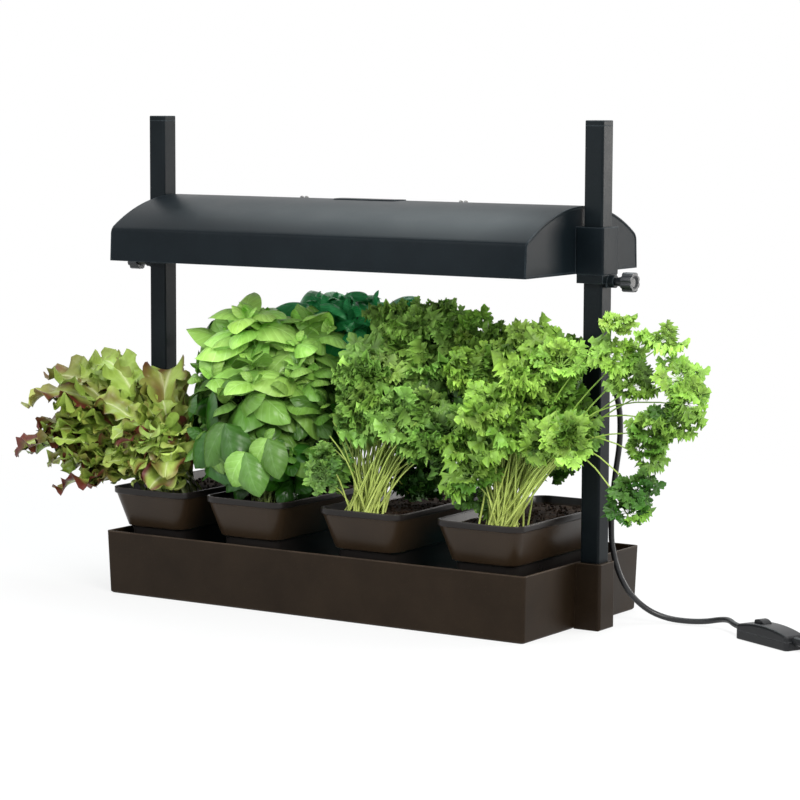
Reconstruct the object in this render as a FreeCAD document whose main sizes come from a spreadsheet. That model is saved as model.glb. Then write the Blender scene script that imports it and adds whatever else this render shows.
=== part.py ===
import FreeCAD, Part
import math
import os
import re

import Sketcher

Vector = FreeCAD.Vector
Rotation = FreeCAD.Rotation
Placement = FreeCAD.Placement

doc = FreeCAD.newDocument("countertop_hydroponic_garden")

# Driving dimensions, in millimetres and degrees. X runs along the tray, Y to the rear, Z up.
# The origin is the middle of the tray's underside.
SIZES = {
    "tray_length": 615.0,
    "tray_depth": 278.0,
    "tray_height": 80.0,
    "tray_draft": 2.5,
    "tray_wall": 2.5,
    "tray_corner": 4.0,
    "tray_bottom_edge": 2.0,
    "deck_top": 40.0,
    "deck_thick": 3.0,
    "deck_gap": 7.0,
    "deck_leg_radius": 8.0,
    "wick_slot_length": 150.0,
    "wick_slot_width": 8.0,
    "mat_thick": 4.0,
    "post_centre": 322.0,
    "post_side": 25.0,
    "post_wall": 1.5,
    "post_corner": 2.5,
    "post_bottom": 6.0,
    "post_top": 596.5,
    "cap_height": 6.0,
    "cap_plug": 14.0,
    "foot_outer": 340.0,
    "foot_depth": 36.0,
    "foot_screw_height": 60.0,
    "foot_screw_spread": 30.6,
    "hood_half_length": 302.5,
    "hood_wall": 1.5,
    "hood_bottom": 422.5,
    "hood_skirt": 40.0,
    "hood_bottom_depth": 268.0,
    "hood_top_depth": 264.0,
    "hood_rise": 39.5,
    "collar_outer": 339.0,
    "collar_front": 18.0,
    "collar_rear": 20.0,
    "collar_top": 478.0,
    "slide_gap": 0.3,
    "sleeve_bottom": 412.0,
    "sleeve_outer": 338.5,
    "knob_height": 414.5,
    "boss_radius": 7.5,
    "boss_end": 346.5,
    "shank_radius": 3.0,
    "running_gap": 0.05,
    "knob_neck_radius": 4.5,
    "knob_head_start": 358.0,
    "knob_head_end": 372.0,
    "knob_radius": 11.75,
    "cover_length": 90.0,
    "cover_width": 26.0,
    "fixture_x": 118.3,
    "fixture_y": 28.5,
    "fixture_pair": 7.0,
    "housing_half_length": 299.0,
    "housing_bottom": 462.0,
    "housing_top": 488.0,
    "housing_width": 92.0,
    "reflector_half_length": 283.0,
    "reflector_edge": 436.0,
    "reflector_half_width": 118.0,
    "lamp_y": 62.0,
    "lamp_z": 441.0,
    "lamp_radius": 8.0,
    "lamp_glass_half": 258.0,
    "lamp_half": 274.5,
    "gland_x": 291.0,
    "gland_y": 34.0,
    "gland_tip": 424.0,
    "cord_diameter": 7.0,
    "switch_length": 94.0,
    "switch_width": 28.0,
    "switch_end_height": 17.0,
    "switch_top": 23.0,
    "switch_split": 10.5,
    "coil_pitch": 7.7,
    "coil_outer": 45.0,
    "pot_y": -7.0,
    "pot_rim_width": 118.0,
    "pot_rim_depth": 250.0,
    "pot_rim_corner": 22.0,
    "pot_top": 135.0,
    "pot_rim_height": 8.0,
    "pot_step": 85.0,
    "pot_bottom_width": 91.5,
    "pot_bottom_depth": 222.5,
    "pot_foot_inset": 4.0,
    "pot_wall": 2.0,
    "soil_below_rim": 9.0,
}

# Where each pot stands along the tray, set down by hand and so not evenly.
POT_CENTRES = (-249.0, -102.5, 69.0, 236.0)

sheet = doc.addObject("Spreadsheet::Sheet", "Sizes")
for row, (alias, value) in enumerate(SIZES.items(), start=1):
    sheet.set(f"A{row}", alias)
    sheet.set(f"B{row}", str(value))
    sheet.setAlias(f"B{row}", alias)
doc.recompute()


def size(alias):
    """A driving dimension, read back from the sheet."""
    return float(sheet.get(alias))


def formula(text):
    """Turns plain words such as tray_length / 2 into an expression on the sheet."""
    words = r"\b(" + "|".join(SIZES) + r")\b"
    return re.sub(words, r"Sizes.\1", text)


def bind(thing, **formulas):
    for field, text in formulas.items():
        thing.setExpression(field.replace("__", "."), formula(text))
    return thing


def at(thing, x="0", y="0", z="0"):
    """Binds a piece's place to the sheet."""
    thing.setExpression("Placement.Base.x", formula(x))
    thing.setExpression("Placement.Base.y", formula(y))
    thing.setExpression("Placement.Base.z", formula(z))
    return thing


nodes = []


def node(thing, name):
    """Names a finished piece; its name is the name of its file."""
    thing.Label = name
    nodes.append(thing)
    return thing


def box(length, width, height, x, y, z):
    piece = doc.addObject("Part::Box", "block")
    bind(piece, Length=length, Width=width, Height=height)
    return at(piece, x, y, z)


def centred_box(length, width, height, x, y, z):
    """A block whose x and y are its middle and z its underside."""
    return box(length, width, height, f"{x} - ({length}) / 2", f"{y} - ({width}) / 2", z)


def rod(radius, height, x, y, z, axis=Vector(0, 0, 1)):
    """A cylinder from x, y, z along the axis."""
    piece = doc.addObject("Part::Cylinder", "rod")
    bind(piece, Radius=radius, Height=height)
    piece.Placement = Placement(Vector(), Rotation(Vector(0, 0, 1), axis))
    return at(piece, x, y, z)


def fuse(pieces):
    joined = doc.addObject("Part::MultiFuse", "joined")
    joined.Shapes = pieces
    joined.Refine = True
    return joined


def cut(base, *tools):
    tool = tools[0] if len(tools) == 1 else fuse(list(tools))
    cutting = doc.addObject("Part::Cut", "cutting")
    cutting.Base = base
    cutting.Tool = tool
    return cutting


def group(pieces):
    """Separate solids kept in one node."""
    kept = doc.addObject("Part::Compound", "pieces")
    kept.Links = pieces
    return kept


def feature(shape):
    """A piece shaped by Part's own functions, with the sizes of the sheet."""
    piece = doc.addObject("Part::Feature", "shaped")
    place = shape.Placement
    piece.Shape = shape
    piece.Placement = place
    return piece


def origin_plane(body, role):
    return next(f for f in body.Origin.OriginFeatures if f.Role == role)


def new_body(name):
    return doc.addObject("PartDesign::Body", name)


def new_sketch(body, name, height="0", role="XY_Plane"):
    sketch = body.newObject("Sketcher::SketchObject", name)
    sketch.AttachmentSupport = [(origin_plane(body, role), "")]
    sketch.MapMode = "FlatFace"
    sketch.setExpression("AttachmentOffset.Base.z", formula(height))
    return sketch


def rounded_rectangle(sketch, width, depth, radius, tag="outer"):
    """Four lines and four arcs about the sketch's origin, bound to the sheet."""
    half_w, half_d, r = 60.0, 40.0, 5.0
    corners = ((half_w, half_d, 0), (-half_w, half_d, 90), (-half_w, -half_d, 180), (half_w, -half_d, 270))
    arcs = []
    for x, y, start in corners:
        centre = Vector(x - math.copysign(r, x), y - math.copysign(r, y), 0)
        circle = Part.Circle(centre, Vector(0, 0, 1), r)
        first = math.radians(start)
        arcs.append(sketch.addGeometry(Part.ArcOfCircle(circle, first, first + math.pi / 2), False))
    lines = []
    for number in range(4):
        here = sketch.getPoint(arcs[number], 2)
        there = sketch.getPoint(arcs[(number + 1) % 4], 1)
        lines.append(sketch.addGeometry(Part.LineSegment(here, there), False))
    for number in range(4):
        sketch.addConstraint(Sketcher.Constraint("Tangent", arcs[number], 2, lines[number], 1))
        after = arcs[(number + 1) % 4]
        sketch.addConstraint(Sketcher.Constraint("Tangent", lines[number], 2, after, 1))
    for number, way in enumerate(("Horizontal", "Vertical", "Horizontal", "Vertical")):
        sketch.addConstraint(Sketcher.Constraint(way, lines[number]))
    for arc in arcs[1:]:
        sketch.addConstraint(Sketcher.Constraint("Equal", arcs[0], arc))
    sketch.addConstraint(Sketcher.Constraint("Symmetric", arcs[0], 3, arcs[2], 3, -1, 1))
    named = (
        ("Radius", Sketcher.Constraint("Radius", arcs[0], r), radius),
        ("Width", Sketcher.Constraint("Distance", lines[1], 1, lines[3], 2 * half_w), width),
        ("Depth", Sketcher.Constraint("Distance", lines[0], 1, lines[2], 2 * half_d), depth),
    )
    for word, constraint, text in named:
        at_index = sketch.addConstraint(constraint)
        sketch.renameConstraint(at_index, f"{tag}{word}")
        sketch.setExpression(f"Constraints.{tag}{word}", formula(text))


def loft_between(body, kind, sketches):
    """A loft through sketches, added to or taken from the body."""
    loft = body.newObject(f"PartDesign::{kind}", "loft")
    loft.Profile = sketches[0]
    loft.Sections = sketches[1:]
    loft.Ruled = True
    doc.recompute()
    return loft


def prism(points, length, direction):
    """A straight extrusion of a closed outline of points or (middle, end) arcs."""
    edges = []
    here = points[0]
    for step in points[1:] + [points[0]]:
        if isinstance(step, tuple):
            middle, end = step
            edges.append(Part.Arc(here, middle, end).toShape())
            here = end
        else:
            edges.append(Part.LineSegment(here, step).toShape())
            here = step
    return Part.Face(Part.Wire(edges)).extrude(direction * length)


def mirrored_x(shape):
    return shape.mirror(Vector(), Vector(1, 0, 0))


# The outer planter tray, with its draft, thin wall and screw holes for the two post feet.
TRAY_BASE_LENGTH = "(tray_length - 2 * tray_draft)"
TRAY_BASE_DEPTH = "(tray_depth - 2 * tray_draft)"


def make_tray():
    body = new_body("tray_form")
    under = new_sketch(body, "tray_underside")
    rounded_rectangle(
        under,
        f"{TRAY_BASE_LENGTH} - 2 * tray_bottom_edge",
        f"{TRAY_BASE_DEPTH} - 2 * tray_bottom_edge",
        "tray_corner",
    )
    base = new_sketch(body, "tray_base", "tray_bottom_edge")
    rounded_rectangle(base, TRAY_BASE_LENGTH, TRAY_BASE_DEPTH, "tray_corner")
    rim = new_sketch(body, "tray_rim", "tray_height")
    rounded_rectangle(rim, "tray_length", "tray_depth", "tray_corner")
    loft_between(body, "AdditiveLoft", [under, base, rim])
    floor = new_sketch(body, "tray_floor", "tray_wall")
    rounded_rectangle(
        floor, f"{TRAY_BASE_LENGTH} - 2 * tray_wall", f"{TRAY_BASE_DEPTH} - 2 * tray_wall", "tray_corner - 1"
    )
    mouth = new_sketch(body, "tray_mouth", "tray_height")
    rounded_rectangle(
        mouth, "tray_length - 2 * tray_wall", "tray_depth - 2 * tray_wall", "tray_corner - 1"
    )
    loft_between(body, "SubtractiveLoft", [floor, mouth])
    return cut(body, foot_screw_rods("1.75", "40", "tray_length / 2 - 20"))


def foot_screw_rods(radius, length, start):
    """Rods along X at the four screw places, both ends of the tray."""
    rods = []
    for side in (-1, 1):
        for spread in (-1, 1):
            begin = start if side > 0 else f"-({start}) - {length}"
            y = f"{spread} * foot_screw_spread / 2"
            rods.append(rod(radius, length, begin, y, "foot_screw_height", Vector(1, 0, 0)))
    return fuse(rods)


# The raised deck that carries the pots over the water, standing on short legs, with its wick slot.
DECK_LENGTH = "(tray_length - 2 * tray_wall - 2 * tray_draft - deck_gap)"
DECK_DEPTH = "(tray_depth - 2 * tray_wall - 2 * tray_draft - deck_gap)"
LEG_PLACES = [(x, y) for x in (-270, -90, 90, 270) for y in (-100, 100)]


def make_deck():
    plate = centred_box(DECK_LENGTH, DECK_DEPTH, "deck_thick", "0", "0", "deck_top - deck_thick")
    legs = [
        rod("deck_leg_radius", "deck_top - tray_wall - 1", str(x), str(y), "tray_wall")
        for x, y in LEG_PLACES
    ]
    rim = cut(
        centred_box(DECK_LENGTH, DECK_DEPTH, "8", "0", "0", "deck_top - 8"),
        centred_box(f"{DECK_LENGTH} - 5", f"{DECK_DEPTH} - 5", "20", "0", "0", "deck_top - 14"),
    )
    slot = centred_box("wick_slot_length", "wick_slot_width", "20", "0", "0", "deck_top - 10")
    return cut(fuse([plate, rim] + legs), slot)


def make_mat():
    """The felt mat under the pots, and its tail through the slot into the water."""
    sheet_part = centred_box(f"{DECK_LENGTH} - 8", f"{DECK_DEPTH} - 8", "mat_thick", "0", "0", "deck_top")
    tail = centred_box(
        "wick_slot_length - 4", "wick_slot_width - 4", "deck_top - tray_wall - 2", "0", "0", "tray_wall + 3"
    )
    return fuse([sheet_part, tail])


# The moulded sockets at the tray's ends, cut to the slope of the tray's wall.
def make_foot(side):
    low = size("tray_length") / 2 - size("tray_draft") - 1
    high = size("foot_outer")
    depth = size("foot_depth")
    solid = Part.makeBox(high - low, depth, size("tray_height"), Vector(low, -depth / 2, 0))
    outer_edges = [
        e for e in solid.Edges
        if e.BoundBox.XMin > high - 0.01 and (e.BoundBox.ZLength > 1 or e.BoundBox.ZMax < 0.01)
    ]
    solid = solid.makeFillet(3.0, outer_edges)
    block = feature(solid if side > 0 else mirrored_x(solid))
    wall = tray_outside()
    hole_side = "(post_side + 2 * slide_gap / 3)"
    socket = centred_box(hole_side, hole_side, "tray_height", f"{side} * post_centre", "0", "post_bottom")
    screws = foot_screw_rods("1.5", "30", "tray_length / 2 - 12")
    return cut(block, wall, socket, screws)


def tray_outside():
    """The tray's outer slopes as a plain solid."""
    low_x = size("tray_length") / 2 - size("tray_draft")
    low_y = size("tray_depth") / 2 - size("tray_draft")
    high_x, high_y = size("tray_length") / 2, size("tray_depth") / 2
    rings = []
    for half_x, half_y, z in ((low_x, low_y, 0), (high_x, high_y, size("tray_height"))):
        corners = [Vector(a * half_x, b * half_y, z) for a, b in ((1, 1), (-1, 1), (-1, -1), (1, -1))]
        rings.append(Part.makePolygon(corners + corners[:1]))
    return feature(Part.makeLoft(rings, True, True))


def make_foot_screws():
    """Four pan-head screws from inside the tray into the sides of the sockets."""
    screws = []
    for side in (-1, 1):
        for spread in (-1, 1):
            y = f"{spread} * foot_screw_spread / 2"
            wall_at = "(tray_length / 2 - tray_draft * (1 - foot_screw_height / tray_height) - tray_wall)"
            head_start = f"{wall_at} - 2.4" if side > 0 else f"-{wall_at} + 0.2"
            shank_start = wall_at + " - 1" if side > 0 else f"-{wall_at} - 16"
            head = rod("3.5", "2.2", head_start, y, "foot_screw_height", Vector(1, 0, 0))
            shank = rod("1.5", "17", shank_start, y, "foot_screw_height", Vector(1, 0, 0))
            screws.append(fuse([head, shank]))
    return group(screws)


# The two square tube posts and their push-in caps.
def make_post(side):
    body = new_body("post")
    section = new_sketch(body, "tube_section", "post_bottom")
    rounded_rectangle(section, "post_side", "post_side", "post_corner")
    rounded_rectangle(
        section, "post_side - 2 * post_wall", "post_side - 2 * post_wall", "post_corner - post_wall", "inner"
    )
    pad = body.newObject("PartDesign::Pad", "tube")
    pad.Profile = section
    bind(pad, Length="post_top - post_bottom")
    return at(body, f"{side} * post_centre")


def make_cap(side):
    top = new_body("cap")
    outline = new_sketch(top, "cap_outline", "post_top")
    rounded_rectangle(outline, "post_side", "post_side", "post_corner")
    head = top.newObject("PartDesign::Pad", "head")
    head.Profile = outline
    bind(head, Length="cap_height")
    doc.recompute()
    upper = [
        f"Edge{n}" for n, e in enumerate(head.Shape.Edges, start=1)
        if e.BoundBox.ZMin > size("post_top") + size("cap_height") - 0.01
    ]
    soft = top.newObject("PartDesign::Chamfer", "soft_edge")
    soft.Base = (head, upper)
    soft.Size = 0.8
    plug_outline = new_sketch(top, "plug_outline", "post_top")
    rounded_rectangle(
        plug_outline, "post_side - 2 * post_wall - 0.1", "post_side - 2 * post_wall - 0.1", "1.4"
    )
    plug = top.newObject("PartDesign::Pad", "plug")
    plug.Profile = plug_outline
    plug.Reversed = True
    bind(plug, Length="cap_plug")
    return at(top, f"{side} * post_centre")


# The hood: an arched shell with two skirts, closed by an end moulding with a collar at each post.
def hood_outline(inset, x):
    """The hood's section at x, set in by the wall: skirts, and one arc over the top."""
    half_bottom = size("hood_bottom_depth") / 2 - inset
    half_top = size("hood_top_depth") / 2 - inset
    shoulder = size("hood_bottom") + size("hood_skirt") - inset / 2
    ridge = size("hood_bottom") + size("hood_skirt") + size("hood_rise") - inset
    base = size("hood_bottom")
    return [
        Vector(x, -half_bottom, base),
        Vector(x, half_bottom, base),
        Vector(x, half_top, shoulder),
        (Vector(x, 0, ridge), Vector(x, -half_top, shoulder)),
    ]


def make_hood_shell():
    half = size("hood_half_length") - size("hood_wall")
    along = Vector(1, 0, 0)
    outer = prism(hood_outline(0, -half), 2 * half, along)
    inner = prism(hood_outline(size("hood_wall"), -half - 5), 2 * half + 10, along)
    holes = [
        rod("1.6", "40", x, "fixture_y", "hood_bottom + hood_skirt + 5") for x in fixture_places()
    ]
    return cut(feature(outer.cut(inner)), fuse(holes))


def fixture_places():
    """Where the four fixture screws stand along the hood: two close pairs."""
    return [f"{side} * fixture_x + {step} * fixture_pair / 2" for side in (-1, 1) for step in (-1, 1)]


def make_hood_end(side):
    start = size("hood_half_length") - size("hood_wall")
    plate = prism(hood_outline(0, start), size("hood_wall"), Vector(1, 0, 0))
    low = size("hood_half_length") - 0.5
    front, rear = size("collar_front"), size("collar_rear")
    bottom, top = size("hood_bottom"), size("collar_top")
    outer_x = size("collar_outer")
    collar = Part.makeBox(outer_x - low, front + rear, top - bottom, Vector(low, -front, bottom))
    edges = [e for e in collar.Edges if e.BoundBox.XMin > outer_x - 0.01 and e.BoundBox.ZLength > 1]
    collar = collar.makeFillet(2.5, edges)
    solid = plate.fuse(collar)
    if side < 0:
        solid = mirrored_x(solid)
    hole = "(post_side + 2 * slide_gap)"
    bore = centred_box(hole, hole, "100", f"{side} * post_centre", "0", "hood_bottom - 10")
    flat = centred_box("40", "40", "20", f"{side} * (post_centre + 20)", "0", "hood_bottom - 20")
    return cut(feature(solid), bore, flat)


# The clamp under each collar: a square sleeve with a threaded boss for the thumbscrew.
def make_sleeve(side):
    depth = "(2 * (collar_front - 0.5))"
    width = "(sleeve_outer - hood_half_length - 1)"
    ring = box(
        width,
        depth,
        "hood_bottom - sleeve_bottom",
        "hood_half_length + 1" if side > 0 else "-sleeve_outer",
        f"-{depth} / 2",
        "sleeve_bottom",
    )
    pad_x = "(post_centre + post_side / 2 + 1)"
    pad = box(
        f"(sleeve_outer - {pad_x})",
        "2 * boss_radius",
        "sleeve_bottom - knob_height + boss_radius + 1",
        pad_x if side > 0 else "-sleeve_outer",
        "-boss_radius",
        "knob_height - boss_radius",
    )
    boss = rod(
        "boss_radius", f"boss_end - {pad_x}", pad_x, "0", "knob_height", Vector(1, 0, 0)
    )
    if side < 0:
        boss = rod(
            "boss_radius", f"boss_end - {pad_x}", "-boss_end", "0", "knob_height", Vector(1, 0, 0)
        )
    hole = "(post_side + 2 * slide_gap)"
    bore = centred_box(hole, hole, "100", f"{side} * post_centre", "0", "hood_bottom - 60")
    start = "0" if side > 0 else "-400"
    thread = rod("shank_radius + running_gap", "400", start, "0", "knob_height", Vector(1, 0, 0))
    above = centred_box("80", "80", "20", f"{side} * post_centre", "0", "hood_bottom")
    return cut(fuse([ring, pad, boss]), bore, thread, above)


def make_knob(side):
    """The thumbscrew: its shank reaches the post, its lobed head stands outside."""
    centre = Vector(0, 0, size("knob_height"))
    along = Vector(1, 0, 0)
    tip = size("post_centre") + size("post_side") / 2 + 0.3
    start, end = size("knob_head_start"), size("knob_head_end")
    boss_end = size("boss_end") + 0.4
    shank = Part.makeCylinder(size("shank_radius"), start - tip, centre + along * tip, along)
    narrow = size("knob_neck_radius")
    neck = Part.makeCone(narrow, narrow + 2.5, start - boss_end, centre + along * boss_end, along)
    head = Part.makeCylinder(size("knob_radius"), end - start, centre + along * start, along)
    lobes = 8
    for number in range(lobes):
        angle = 2 * math.pi * number / lobes
        reach = size("knob_radius") + 1.6
        place = centre + Vector(start - 1, reach * math.cos(angle), reach * math.sin(angle))
        head = head.cut(Part.makeCylinder(3.0, end - start + 2, place, along))
    dish = Part.makeCone(5.0, 8.0, 2.0, centre + along * (end - 2), along)
    solid = shank.fuse([neck, head]).cut(dish).removeSplitter()
    if side < 0:
        solid = mirrored_x(solid)
    return feature(solid)


# The low cover on the ridge and the four fixture screws with their spacers.
def make_ridge_cover():
    """A thin plate bent to the arch, a millimetre proud of the ridge."""
    half = size("cover_length") / 2
    along = Vector(1, 0, 0)
    upper = prism(hood_outline(-1.2, -half), 2 * half, along)
    lower = prism(hood_outline(0, -half - 5), 2 * half + 10, along)
    side = size("cover_width")
    shoulder = size("hood_bottom") + size("hood_skirt")
    window = Part.makeBox(2 * half, side, 60, Vector(-half, -side / 2, shoulder + 20))
    return feature(upper.cut(lower).common(window))


def make_fixture_screws():
    """Screw tips with their nuts on the hood, heads inside the lamp housing."""
    screws = []
    top = surface_height(size("fixture_y"))
    for x in fixture_places():
        shank = rod("1.5", f"{top + 2.8} - housing_top + 3", x, "fixture_y", "housing_top - 3")
        nut = doc.addObject("Part::Prism", "nut")
        nut.Polygon = 6
        nut.Circumradius = 2.9
        nut.Height = 1.6
        at(nut, x, "fixture_y", str(top + 0.4))
        head = rod("2.8", "1.8", x, "fixture_y", "housing_top - 3")
        screws.append(fuse([shank, nut, head]))
    return group(screws)


def surface_height(y):
    """How high the hood's outer surface is at y."""
    half, rise = size("hood_top_depth") / 2, size("hood_rise")
    radius = (half**2 + rise**2) / (2 * rise)
    ridge = size("hood_bottom") + size("hood_skirt") + rise
    return ridge - radius + math.sqrt(radius**2 - y**2)


def make_spacers():
    """Bushes between the lamp housing and the inside of the hood."""
    y = size("fixture_y")
    top = surface_height(y + 3.0) - size("hood_wall") * 1.25
    spacers = []
    for x in fixture_places():
        tube = cut(
            rod("3", f"{top} - housing_top", x, "fixture_y", "housing_top"),
            rod("1.55", f"{top} - housing_top + 2", x, "fixture_y", "housing_top - 1"),
        )
        spacers.append(tube)
    return group(spacers)


# The lamp housing: a shallow sheet-metal box that carries the ballast, holders and reflector.
def make_housing():
    length = "2 * housing_half_length"
    shell = cut(
        centred_box(length, "housing_width", "housing_top - housing_bottom", "0", "0", "housing_bottom"),
        centred_box(
            f"{length} - 2.4", "housing_width - 2.4", "housing_top - housing_bottom - 2.4", "0", "0",
            "housing_bottom + 1.2",
        ),
    )
    holes = [rod("1.55", "10", x, "fixture_y", "housing_top - 5") for x in fixture_places()]
    gland_hole = rod("5.2", "10", "gland_x", "gland_y", "housing_bottom - 5")
    return cut(shell, fuse(holes + [gland_hole]))


def make_reflector():
    """A folded sheet with a bay over each lamp, seated under the housing."""
    thick = 1.0
    top = size("housing_bottom")
    edge, half = size("reflector_edge"), size("reflector_half_width")
    lamp_y = size("lamp_y")
    inner = size("housing_width") / 2 + 22
    ridge = 14.0
    upper = [(-half, edge), (-inner - 18, top), (-ridge - 18, top), (0, top - 12), (ridge + 18, top),
             (inner + 18, top), (half, edge)]
    lower = [(half - 1.6, edge), (inner + 17.2, top - thick), (ridge + 18.6, top - thick),
             (0, top - 12 - 1.15), (-ridge - 18.6, top - thick), (-inner - 17.2, top - thick),
             (-half + 1.6, edge)]
    long_half = size("reflector_half_length")
    points = [Vector(-long_half, y, z) for y, z in upper + lower]
    return feature(prism(points, 2 * long_half, Vector(1, 0, 0)))


def make_lamp(side):
    """The glass tube of one lamp."""
    return rod(
        "lamp_radius", "2 * lamp_glass_half", "-lamp_glass_half", f"{side} * lamp_y", "lamp_z", Vector(1, 0, 0)
    )


def make_lamp_caps(side):
    """Both metal end caps of one lamp, each with its two pins."""
    caps = []
    for end in (-1, 1):
        start = "lamp_glass_half" if end > 0 else "-lamp_half + 4"
        cap = rod("lamp_radius + 0.25", "lamp_half - 4 - lamp_glass_half", start, f"{side} * lamp_y", "lamp_z",
                  Vector(1, 0, 0))
        pins = [
            rod("1.2", "5", "lamp_half - 5" if end > 0 else "-lamp_half", f"{side} * lamp_y + {step}", "lamp_z",
                Vector(1, 0, 0))
            for step in (-2.5, 2.5)
        ]
        caps.append(fuse([cap] + pins))
    return group(caps)


def make_lamp_holders(end):
    """The two lamp holders at one end, hung from the reflector's end."""
    holders = []
    for side in (-1, 1):
        start = "lamp_half - 4" if end > 0 else "-lamp_half - 6"
        block = box("10", "26", "housing_bottom - 1 - lamp_z + 12", start, f"{side} * lamp_y - 13", "lamp_z - 12")
        sockets = [
            rod("1.2", "12", "lamp_half - 8" if end > 0 else "-lamp_half", f"{side} * lamp_y + {step}", "lamp_z",
                Vector(1, 0, 0))
            for step in (-2.5, 2.5)
        ]
        limited = cut(block, *[
            cut(s, box("100", "100", "100", "lamp_half" if end > 0 else "-lamp_half - 100",
                       f"{side} * lamp_y - 50", "lamp_z - 50"))
            for s in sockets
        ])
        holders.append(limited)
    return group(holders)


def make_ballast():
    return centred_box("230", "44", "18", "-40", "0", "housing_bottom + 1.2")


def make_terminal_block():
    body = centred_box("34", "20", "13", "230", "20", "housing_bottom + 1.2")
    wells = [rod("2", "20", f"230 + {step}", "20", "housing_bottom + 9") for step in (-10, 0, 10)]
    return cut(body, fuse(wells))


# The cord: the gland it leaves by, its drop, the run over the table, the lead and the coil.
def make_gland():
    """A tapered strain relief, its collar inside the housing."""
    x, y = size("gland_x"), size("gland_y")
    seat = size("housing_bottom")
    tip = size("gland_tip")
    cord = size("cord_diameter") / 2
    down = Vector(0, 0, -1)
    flange = Part.makeCylinder(6.2, 1.4, Vector(x, y, seat), down)
    taper = Part.makeCone(5.6, cord + 0.8, seat - 1.4 - tip, Vector(x, y, seat - 1.4), down)
    plug = Part.makeCylinder(5.1, 4.0, Vector(x, y, seat + 4.0), down)
    return feature(flange.fuse([taper, plug]).removeSplitter())


# The drop ends and the run begins at one point, low behind the post.
CORD_DROP = [
    (291, 34, 424), (291, 34, 386), (298, 34.3, 346), (316, 35, 310), (334, 35.5, 270),
    (336.5, 35.5, 226), (329.5, 35.5, 182), (324.5, 36, 139), (324.5, 36.7, 118),
]
CORD_RUN = [
    (324.5, 36.7, 118), (324.5, 37.4, 97), (331, 42.5, 62), (343, 52, 34.5), (360, 64, 15.5),
    (381, 75, 5.8), (406, 80, 4.2), (430, 81.5, 6.2), (449, 80, 11), (466, 71, 14),
    (480.6, 56.9, 11.4), (496.6, 49.2, 11),
]


def tube_path(points):
    """Straight runs joined by tangent arcs as large as the runs allow, and each arc's radius."""
    places = [Vector(*p) for p in points]
    edges, radii = [], []
    here = places[0]
    for before, corner, after in zip(places, places[1:], places[2:]):
        back, on = before - corner, after - corner
        shorter = min(back.Length, on.Length)
        back.normalize()
        on.normalize()
        half_turn = (math.pi - back.getAngle(on)) / 2
        trim = 0.45 * shorter
        radii.append(trim / math.tan(half_turn))
        first, last = corner + back * trim, corner + on * trim
        toward = back + on
        toward.normalize()
        centre = corner + toward * (radii[-1] / math.cos(half_turn))
        middle = centre - toward * radii[-1]
        edges.append(Part.LineSegment(here, first).toShape())
        edges.append(Part.Arc(first, middle, last).toShape())
        here = last
    edges.append(Part.LineSegment(here, places[-1]).toShape())
    return Part.Wire(edges), radii


def tube(wire, radius, name):
    """A round tube along a wire, its volume set against its section times its length."""
    first = wire.OrderedEdges[0]
    start = first.valueAt(first.FirstParameter)
    ahead = first.tangentAt(first.FirstParameter)
    if (start - wire.OrderedVertexes[0].Point).Length > 1e-6:
        start = first.valueAt(first.LastParameter)
        ahead = first.tangentAt(first.LastParameter) * -1
    ring = Part.Wire(Part.Circle(start, ahead, radius).toShape())
    solid = wire.makePipeShell([ring], True, False)
    share = solid.Volume / (math.pi * radius**2 * wire.Length)
    print(f"{name}: length {wire.Length:.1f} mm, volume share {share:.4f}")
    return solid


def make_cord(points, name):
    wire, radii = tube_path(points)
    print(name, "radii", [round(r, 1) for r in radii])
    return feature(tube(wire, size("cord_diameter") / 2, name))


# The inline switch lies askew on the table; its middle line runs from SWITCH_START along SWITCH_WAY.
SWITCH_START = Vector(496.6, 49.2, 0)
SWITCH_ANGLE = -25.65


def on_switch(solid):
    """Turns a solid made along +X from the switch's start to its place on the table."""
    turn = Placement(SWITCH_START, Rotation(Vector(0, 0, 1), SWITCH_ANGLE))
    moved = solid.copy()
    moved.Placement = turn.multiply(solid.Placement)
    return feature(moved)


def switch_body():
    """The whole switch as one solid: rounded in plan, its back arched, its ends low."""
    length, width = size("switch_length"), size("switch_width")
    low, top = size("switch_end_height"), size("switch_top")
    half = width / 2
    side = [
        Vector(0, -half, 0),
        Vector(length, -half, 0),
        Vector(length, -half, low),
        (Vector(length * 0.5, -half, top), Vector(0, -half, low)),
    ]
    solid = prism(side, width, Vector(0, 1, 0))
    uprights = [e for e in solid.Edges if e.BoundBox.ZLength > 1 and e.BoundBox.XLength < 0.01]
    solid = solid.makeFillet(5.0, uprights)
    back = [e for e in solid.Edges if e.BoundBox.ZMin > low - 0.3]
    solid = solid.makeFillet(3.0, back)
    underside = [e for e in solid.Edges if e.BoundBox.ZMax < 0.01]
    return solid.makeFillet(1.5, underside)


ROCKER_X = 34.0
ROCKER_LENGTH = 17.0
ROCKER_WIDTH = 12.0
ROCKER_PIVOT = 17.5


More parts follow.
